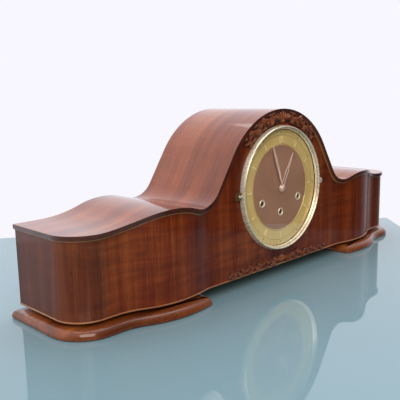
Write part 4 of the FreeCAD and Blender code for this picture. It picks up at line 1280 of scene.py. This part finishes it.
@dataclass
class Dial:
    """The gilt chapter ring with its markers and track, and the winding eyelets."""

    front: float
    height: float = DIAL_HEIGHT
    ring_outer: float = 0.080
    ring_inner: float = 0.0585
    ring_face: float = 0.0010
    ring_back: float = 0.0018
    baton: Stretch = (0.0019, 0.0005, 0.0085)
    baton_reach: float = 0.0660
    baton_pair: float = 0.0022
    dot_reach: float = 0.0757
    hour_dot: float = 0.00105
    minute_dot: float = 0.0004
    eyelet_outer: float = 0.0054
    eyelet_inner: float = 0.0040
    winding_places: Outline = ((0.0, -0.0335), (0.040, -0.017), (-0.040, -0.017))

    def centre(self, depth: float = 0.0) -> Vector:
        """The dial's centre at a depth behind the wooden front."""
        return Vector((0, self.front + depth, self.height))

    def build(self) -> None:
        """Build the ring, the markers, the track and the eyelets."""
        lip = 0.0004
        profile = ((self.ring_inner, self.ring_back), (self.ring_inner, self.ring_face + lip),
                   (self.ring_inner + lip, self.ring_face), (self.ring_outer - lip, self.ring_face),
                   (self.ring_outer, self.ring_face + lip), (self.ring_outer, self.ring_back))
        ring = spun(profile, self.centre(), 128)
        stand("chapter_ring_gilt", ring, (CHAPTER_GOLD,), "case", ("chapter_ring",), 30)
        self.markers()
        self.tracks()
        self.eyelets()

    def clocked(self, bm: Shape, place: Stretch, degrees: float) -> Shape:
        """Set a small part on the dial.

        Args:
            bm: the part, at the origin.
            place: where it stands at twelve o'clock, from the dial's centre.
            degrees: how far clockwise it is taken round the dial.

        Returns:
            The same part.
        """
        turn = Matrix.Rotation(math.radians(degrees), 3, "Y")
        bmesh.ops.translate(bm, verts=bm.verts[:], vec=place)
        bmesh.ops.rotate(bm, verts=bm.verts[:], cent=(0, 0, 0), matrix=turn)
        bmesh.ops.translate(bm, verts=bm.verts[:], vec=self.centre())
        return bm

    def markers(self) -> None:
        """Twelve raised batons, the one at the top double."""
        parts = []
        for hour in range(12):
            for shift in ((-self.baton_pair, self.baton_pair) if hour == 0 else (0.0,)):
                place = (shift, self.ring_face - 0.0001, self.baton_reach)
                parts.append(self.clocked(block(self.baton, 2), place, 30 * hour))
        stand("hour_markers", joined(parts), (MARKER_GOLD,), "case")

    def tracks(self) -> None:
        """A fine double line and the hour and minute dots."""
        parts = []
        for radius in (0.0722, 0.0598):
            half = 0.00022
            profile = ((radius - half, self.ring_face), (radius, self.ring_face - 0.00018),
                       (radius + half, self.ring_face))
            parts.append(spun(profile, self.centre(), 128))
        for minute in range(60):
            size = self.minute_dot if minute % 5 else self.hour_dot
            dot = bmesh.new()
            bmesh.ops.create_uvsphere(dot, u_segments=10, v_segments=6, radius=1,
                                      matrix=Matrix.Diagonal((size, 0.00025, size, 1)))
            parts.append(self.clocked(dot, (0, self.ring_face, self.dot_reach), 6 * minute))
        stand("minute_track", joined(parts), (TRACK_BRONZE,), "case", (), 60)

    def eyelets(self) -> None:
        """Three rolled eyelets round the winding holes."""
        parts = []
        inner, outer = self.eyelet_inner, self.eyelet_outer
        profile = ((inner, 0.0030), (inner, 0.0012), (inner + 0.0003, 0.0007), (inner + 0.0008, 0.0005),
                   (outer - 0.0002, 0.0008), (outer, 0.0013), (outer, 0.0030))
        for x, z in self.winding_places:
            parts.append(spun(profile, self.centre() + Vector((x, 0, z)), 40))
        stand("winding_eyelets_rolled", joined(parts), (POLISHED_BRASS,), "case",
              ("winding_eyelets",), 50)


@dataclass
class BezelAssembly:
    """The hinged brass hoop, its lug and the domed glass."""

    front: float
    height: float = DIAL_HEIGHT
    outer: float = 0.086
    inner: float = 0.0825
    near: float = 0.0072
    glass_radius: float = 0.0841
    glass_wall: float = 0.0016
    glass_dome: float = 0.003
    hinge_x: float = -0.0892
    hinge_depth: float = 0.003
    knuckle_radius: float = 0.0022
    knuckle_half: float = 0.0015

    def centre(self) -> Vector:
        """The hoop's centre on the wooden front."""
        return Vector((0, self.front, self.height))

    def build(self) -> None:
        """Build hoop, lug and glass."""
        self.hoop()
        self.lug()
        self.glass()

    def hoop(self) -> None:
        """A double-stepped hoop with the moving knuckle of its hinge."""
        outer, inner, near = self.outer, self.inner, self.near
        seat = self.glass_radius + 0.0001
        back = -near + 0.0045
        lip = ((0, 0.0028), (0, 0.0014), (0.0002, 0.0006), (0.0007, 0.0001), (0.0012, 0), (0.0017, 0.0004),
               (0.0021, 0.0014), (0.0027, 0.0032))
        profile = [(inner + out, -near + drop) for out, drop in lip]
        profile += [(outer - 0.0003, -near + 0.0050), (outer, -near + 0.0060), (outer, -0.0002),
                    (outer - 0.0036, -0.0002), (inner - 0.0022, -0.0002), (inner - 0.0022, -0.0006),
                    (inner - 0.0010, back + 0.0003), (inner, back), (seat, back), (seat, -near + 0.0028)]
        ring = spun(profile, self.centre(), 144)
        knuckle = bmesh.new()
        bmesh.ops.create_cone(knuckle, cap_ends=True, segments=28, radius1=self.knuckle_radius,
                              radius2=self.knuckle_radius, depth=2 * self.knuckle_half)
        caps = [edge for edge in knuckle.edges if abs(edge.verts[0].co.z - edge.verts[1].co.z) < 1e-6]
        eased(knuckle, caps, 0.0003, 2)
        at = Vector((self.hinge_x, self.front - self.hinge_depth, self.height))
        bmesh.ops.translate(knuckle, verts=knuckle.verts[:], vec=at)
        tab = block((0.0042, 0.0018, 2 * self.knuckle_half), 1)
        bmesh.ops.translate(tab, verts=tab.verts[:], vec=at + Vector((0.0021, 0, 0)))
        stand("bezel_hoop", joined((ring, knuckle, tab)), (POLISHED_BRASS,), "bezel",
              ("bezel",), 50)

    def lug(self) -> None:
        """A small rounded thumb piece on a neck."""
        parts = []
        for x, sizes in ((0.0912, (0.0040, 0.0015, 0.0042)), (0.0880, (0.0030, 0.0010, 0.0024))):
            bead = bmesh.new()
            bmesh.ops.create_uvsphere(bead, u_segments=28, v_segments=16, radius=1,
                                      matrix=Matrix.Translation((x, self.front - 0.0033, self.height))
                                      @ Matrix.Diagonal((*sizes, 1)))
            parts.append(bead)
        stand("bezel_lug_turned", joined(parts), (PINK_BRASS,), "bezel", ("bezel_lug",), 60)

    def glass(self) -> None:
        """The domed glass behind the hoop's lip."""
        reach = self.inner - 0.0005
        seat = -self.near + 0.0028
        steps = 14
        shares = [step / steps for step in range(steps + 1)]
        face = [(reach * share, seat - self.glass_dome * (1 - share ** 2)) for share in shares]
        back = [(radius, y + self.glass_wall) for radius, y in reversed(face)]
        profile = face + [(self.glass_radius, seat), (self.glass_radius, seat + self.glass_wall)] + back
        stand("bezel_glass_domed", spun(profile, self.centre(), 96, False), (GLASS,), "bezel",
              ("bezel_glass",), 50)


@dataclass
class Hands:
    """A ridged minute hand, a pierced hour hand and the nut that holds them."""

    front: float
    height: float = DIAL_HEIGHT
    minute_length: float = 0.065
    hour_length: float = 0.053
    minute_angle: float = 110.4
    hour_angle: float = 61.7
    thickness: float = 0.0008

    def blade(self, stations: Sequence[tuple[float, float, float]], depth: float) -> Shape:
        """A ridged strip that points up from the dial's centre.

        Args:
            stations: distance from the centre, sideways place and half width at each.
            depth: the y of its back.

        Returns:
            The closed strip.
        """
        columns = []
        for shift, lift in ((-1, 0.0), (0, 1.0), (1, 0.0)):
            column = []
            for reach, aside, half in stations:
                ridge = 0.45 * self.thickness + lift * 0.55 * self.thickness * min(1.0, half / 0.0012)
                column.append(Vector((aside + shift * half, depth - ridge, reach)))
            columns.append(column)
        bm = laid(columns)
        face_towards(bm, lambda face: face.normal.y < 0)
        grown = bmesh.ops.extrude_face_region(bm, geom=bm.faces[:])
        moved = [item for item in grown["geom"] if isinstance(item, bmesh.types.BMVert)]
        for vert in moved:
            vert.co.y = depth
        bmesh.ops.recalc_face_normals(bm, faces=bm.faces[:])
        return bm

    def hub(self, radius: float, bore: float, depth: float) -> Shape:
        """A round boss with a domed edge."""
        thick = self.thickness
        profile = ((bore, depth), (bore, depth - thick), (radius * 0.72, depth - thick),
                   (radius * 0.94, depth - 0.7 * thick), (radius, depth - 0.3 * thick), (radius, depth))
        return spun(profile, Vector((0, 0, 0)), 40)

    def turned(self, parts: Sequence[Shape], angle: float) -> Shape:
        """Join a hand's parts, turn it to its time and set it on the dial."""
        bm = joined(parts)
        turn = Matrix.Rotation(math.radians(90 - angle), 3, "Y")
        bmesh.ops.rotate(bm, verts=bm.verts[:], cent=(0, 0, 0), matrix=turn)
        bmesh.ops.translate(bm, verts=bm.verts[:], vec=(0, self.front, self.height))
        return bm

    def build(self) -> None:
        """Build both hands and the nut."""
        long, short = self.minute_length, self.hour_length
        depth = -0.0028
        sword = [(0.003, 0, 0.0016), (long * 0.16, 0, 0.0012), (long * 0.45, 0, 0.0022),
                 (long * 0.72, 0, 0.0020), (long * 0.9, 0, 0.0011), (long - 0.0003, 0, 0.00025)]
        minute = self.turned((self.blade(sword, depth), self.hub(0.0045, 0.0025, depth)), self.minute_angle)
        stand("minute_hand_ridged", minute, (PINK_BRASS,), "minute_arbor",
              ("minute_hand",), 25)
        depth = -0.0008
        parts = [self.hub(0.0055, 0.0034, depth)]
        for side in (-1, 1):
            rail = [(0.0042, side * 0.0026, 0.0009), (short * 0.25, side * 0.0022, 0.0008),
                    (short * 0.45, side * 0.0025, 0.0009), (short * 0.62, side * 0.0013, 0.0010)]
            parts.append(self.blade(rail, depth))
        tip = [(short * 0.56, 0, 0.0016), (short * 0.66, 0, 0.0024), (short * 0.86, 0, 0.0015),
               (short - 0.0003, 0, 0.00025)]
        parts.append(self.blade(tip, depth))
        stand("hour_hand_pierced", self.turned(parts, self.hour_angle), (PINK_BRASS,), "hour_wheel",
              ("hour_hand",), 25)
        profile = ((0.0015, -0.0036), (0.0032, -0.0036), (0.0032, -0.0041), (0.0028, -0.0046),
                   (0.0020, -0.0048), (0.0015, -0.0048))
        nut = spun(profile, Vector((0, self.front, self.height)), 36)
        stand("hand_nut_turned", nut, (PINK_BRASS,), "minute_arbor", ("hand_nut",), 40)


# ---------------------------------------------------------------- back and movement

@dataclass
class BackFittings:
    """The door's turned knob and the screws of the hinges and the frame."""

    back: float
    hinge_levels: tuple[float, ...] = (0.056, 0.098)
    hinge_screws: tuple[float, float] = (-0.008, 0.008)
    door_leaf: float = -0.0745
    frame_leaf: float = -0.0905
    leaf_rise: float = 0.0012
    leaf_radius: float = 0.0016
    frame_radius: float = 0.0026
    low_row: tuple[float, ...] = (-0.300, -0.200, -0.105, 0.105, 0.200, 0.300)
    low_level: float = 0.024
    high_row: tuple[float, ...] = (-0.300, -0.210, 0.210, 0.300)
    high_level: float = 0.098

    def screw(self, x: float, y: float, z: float, radius: float) -> Shape:
        """A low round screw head with a thin dark sheet as the painted shade of its slot, facing the back.

        Args:
            x: its place.
            y: the surface that it sits on.
            z: its place.
            radius: the head's radius.

        Returns:
            The head.
        """
        rise = 0.4 * radius
        profile = ((0.0, rise), (0.5 * radius, 0.9 * rise), (0.9 * radius, 0.45 * rise), (radius, 0.0),
                   (radius, -0.0004), (0.0, -0.0004))
        head = spun(profile, Vector((x, y, z)), 20, False)
        # painted shade: the slot is no cut but a thin sheet on the head, in the second, dark iron finish
        slot = bmesh.new()
        bmesh.ops.create_cube(slot, size=1, matrix=Matrix.Translation((x, y + rise, z))
                              @ Matrix.Rotation(math.radians(35 + 4000 * x), 4, "Y")
                              @ Matrix.Diagonal((1.5 * radius, 0.0001, 0.3 * radius, 1)))
        for face in slot.faces:
            face.material_index = 1
        return joined((head, slot))

    def build(self) -> None:
        """Build the knob and the screws."""
        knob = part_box("door_knob")
        middle = (knob[0] + knob[1]) / 2
        reach = (knob[1].x - knob[0].x) / 2
        deep = knob[1].y - knob[0].y
        profile = ((0.0, 0.0), (0.62 * reach, 0.0), (0.42 * reach, 0.2 * deep), (0.40 * reach, 0.36 * deep),
                   (0.80 * reach, 0.52 * deep), (reach, 0.68 * deep), (0.94 * reach, 0.86 * deep),
                   (0.62 * reach, 0.97 * deep), (0.0, deep))
        turned = spun(profile, Vector((middle.x, knob[0].y, middle.z)), 48, False)
        stand("door_knob_turned", turned, (KNOB_WOOD,), "rear_door", ("door_knob",), 40)
        leaf = self.back + self.leaf_rise
        spots = [level + shift for level in self.hinge_levels for shift in self.hinge_screws]
        door = [self.screw(self.door_leaf, leaf, spot, self.leaf_radius) for spot in spots]
        frame = [self.screw(self.frame_leaf, leaf, spot, self.leaf_radius) for spot in spots]
        for row, level in ((self.low_row, self.low_level), (self.high_row, self.high_level)):
            frame += [self.screw(x, self.back, level, self.frame_radius) for x in row]
        # the dark iron finish here is the painted shade of the screw slots
        brass_and_slot_shade = (MOVEMENT_BRASS, IRON)
        stand("door_hinge_screws", joined(door), brass_and_slot_shade, "rear_door")
        stand("frame_screws", joined(frame), brass_and_slot_shade, "case")


@dataclass
class CarriedOver:
    """CAD nodes that keep their shape and take a finish."""

    nodes: dict[str, Piece]
    finishes: dict[object, tuple[str, ...]] = field(default_factory=lambda: {
        PLYWOOD: ("back_frame", "rear_door"),
        DEAL: ("base_board",),
        SHEET_BRASS: ("dial_plate",),
        ROSE_DISC: ("centre_disc",),
        POLISHED_BRASS: ("door_hinge_leaves", "frame_hinge_leaves", "door_hinge_pins"),
        TRACK_BRONZE: ("bezel_hinge_leaf", "bezel_hinge_pin"),
        MOVEMENT_BRASS: ("movement_front_plate", "movement_back_plate", "plate_pillars", "going_barrel",
                         "chime_barrel", "strike_barrel", "intermediate_wheel", "centre_wheel", "third_wheel",
                         "escape_wheel", "minute_wheel", "hour_wheel", "chime_second_wheel", "pendulum_bob",
                         "chime_drum"),
        STEEL: ("plate_screws", "pendulum_cock", "going_winding_arbor", "chime_winding_arbor",
                "strike_winding_arbor", "cannon_pinion", "anchor", "pendulum_rod", "hammer_bracket",
                "hammer_shaft", "hammer_1", "hammer_2", "hammer_3", "hammer_4"),
        IRON: ("rod_block",),
        ROD_BRONZE: ("chime_rods",),
    })

    def dress(self) -> None:
        """Give each node its finish."""
        for finish, names in self.finishes.items():
            for name in names:
                node = self.nodes[name]
                if not node.material_slots:
                    node.data.materials.append(made(finish))
                for slot in node.material_slots:
                    slot.material = made(finish)
                LOG.info("%s keeps its shape and takes %s", name, finish.name)


# ---------------------------------------------------------------- studio

@dataclass
class Studio:
    """The camera, a pale glass-topped table and soft light."""

    eye: Vector = field(default_factory=lambda: Vector((-0.641, -0.5413, 0.2522)))
    yaw: float = 44.84
    pitch: float = 10.22
    roll: float = -1.15
    lens: float = 52.81
    table_far: float = 1.100
    table_skew: float = 0.15
    table_left: float = -0.57
    table_right: float = 0.375
    table_near: float = -0.60

    def build(self) -> None:
        """Build camera, table, world and lamps."""
        self.camera()
        self.table()
        self.world()
        self.lamps()
        bpy.context.scene.view_settings.view_transform = "Standard"

    def axes(self) -> tuple[Vector, Vector, Vector]:
        """The camera's right, up and forward directions."""
        yaw, pitch, roll = (math.radians(angle) for angle in (self.yaw, self.pitch, self.roll))
        forward = Vector((math.sin(yaw) * math.cos(pitch), math.cos(yaw) * math.cos(pitch), -math.sin(pitch)))
        right = Vector((math.cos(yaw), -math.sin(yaw), 0))
        up = right.cross(forward)
        cosine, sine = math.cos(roll), math.sin(roll)
        return right * cosine + up * sine, up * cosine - right * sine, forward

    def camera(self) -> None:
        """Set the camera at the viewing place."""
        right, up, forward = self.axes()
        data = bpy.data.cameras.new("view")
        data.lens = self.lens
        data.sensor_width = 36
        data.clip_start = 0.01
        camera = bpy.data.objects.new("view", data)
        turn = Matrix((right, up, -forward)).transposed().to_4x4()
        camera.matrix_world = Matrix.Translation(self.eye) @ turn
        bpy.context.scene.collection.objects.link(camera)
        bpy.context.scene.camera = camera

    def table(self) -> None:
        """A glass-topped table in pale blue-green."""
        ahead = Vector((math.sin(math.radians(self.yaw)), math.cos(math.radians(self.yaw)), 0))
        aside = Vector((ahead.y, -ahead.x, 0))
        ground = Vector((self.eye.x, self.eye.y, 0))
        corners = []
        ends = (self.table_left, self.table_right)
        for far, order in ((False, ends), (True, ends[::-1])):
            for across in order:
                reach = self.table_far + self.table_skew * across if far else self.table_near
                corners.append(ground + aside * across + ahead * reach)
        bm = bmesh.new()
        bm.faces.new([bm.verts.new(corner) for corner in corners])
        bmesh.ops.recalc_face_normals(bm, faces=bm.faces[:])
        face_towards(bm, lambda face: face.normal.z > 0)
        mesh = bpy.data.meshes.new("table_top")
        bm.to_mesh(mesh)
        bm.free()
        recipe = Recipe("table_glass")
        clouds = recipe.noise((1.6, 1.6, 1.6), 2, 0.4)
        recipe.set(Base_Color=recipe.ramp(clouds, ((0.3, (0.185, 0.30, 0.33)), (0.7, (0.215, 0.34, 0.38)))))
        recipe.set(Roughness=0.03, IOR=1.5, Coat_Weight=0.25, Coat_Roughness=0.02)
        mesh.materials.append(recipe.material)
        top = bpy.data.objects.new("table_top", mesh)
        bpy.context.scene.collection.objects.link(top)

    def world(self) -> None:
        """A pale backdrop that is brighter behind the clock than behind the viewer."""
        world = bpy.data.worlds.new("studio")
        world.use_nodes = True
        tree = world.node_tree
        tree.nodes.clear()
        seen = add_node(tree, "Background", Color=BACKDROP, Strength=1.0)
        yaw = math.radians(self.yaw)
        ahead = Vector((math.sin(yaw), math.cos(yaw), 0))
        left = Vector((-ahead.y, ahead.x, 0))
        along = add_node(tree, "VectorMath")
        along.operation = "DOT_PRODUCT"
        plug(tree, along.inputs[0], add_node(tree, "TexCoord").outputs["Generated"])
        plug(tree, along.inputs[1], left * 0.62 + ahead * 0.72 + Vector((0, 0, 0.50)))
        strip = add_node(tree, "MapRange", Value=along.outputs["Value"], From_Min=-0.45, From_Max=0.45,
                         To_Min=0.06, To_Max=1.1)
        lit = add_node(tree, "Background", Color=SHADE_LIGHT, Strength=strip.outputs["Result"])
        either = add_node(tree, "MixShader", Fac=add_node(tree, "LightPath").outputs["Is Camera Ray"])
        plug(tree, either.inputs[1], lit.outputs["Background"])
        plug(tree, either.inputs[2], seen.outputs["Background"])
        add_node(tree, "OutputWorld", Surface=either.outputs["Shader"])
        bpy.context.scene.world = world

    def lamps(self) -> None:
        """Two soft boxes: a key from the front left and a fill from above."""
        for name, place, size, power, colour in (
            ("key_box", (-1.3, -1.6, 1.5), 1.6, 36.0, (1.0, 0.96, 0.90)),
            ("top_box", (0.3, 0.2, 1.9), 1.8, 16.0, (0.97, 0.97, 1.0)),
        ):
            data = bpy.data.lights.new(name, "AREA")
            data.shape = "SQUARE"
            data.size = size
            data.energy = power
            data.color = colour
            lamp = bpy.data.objects.new(name, data)
            aim = Vector((0, 0, 0.08)) - Vector(place)
            lamp.matrix_world = Matrix.Translation(place) @ aim.to_track_quat("-Z", "Y").to_matrix().to_4x4()
            bpy.context.scene.collection.objects.link(lamp)


def main() -> None:
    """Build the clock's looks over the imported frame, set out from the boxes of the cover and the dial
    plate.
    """
    logging.basicConfig(level=logging.INFO, format="%(name)s: %(message)s")
    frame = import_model()
    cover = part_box("cover_shell")
    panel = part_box("dial_plate")
    lines = CaseLines(front=panel[0].y - 0.0018, back=cover[1].y)
    VeneeredCase(lines).build()
    Feet(lines).build()
    Carvings(lines).build()
    Dial(lines.front).build()
    BezelAssembly(lines.front).build()
    Hands(lines.front).build()
    BackFittings(lines.back).build()
    CarriedOver(frame["nodes"]).dress()
    Studio().build()


if __name__ == "__main__":
    main()
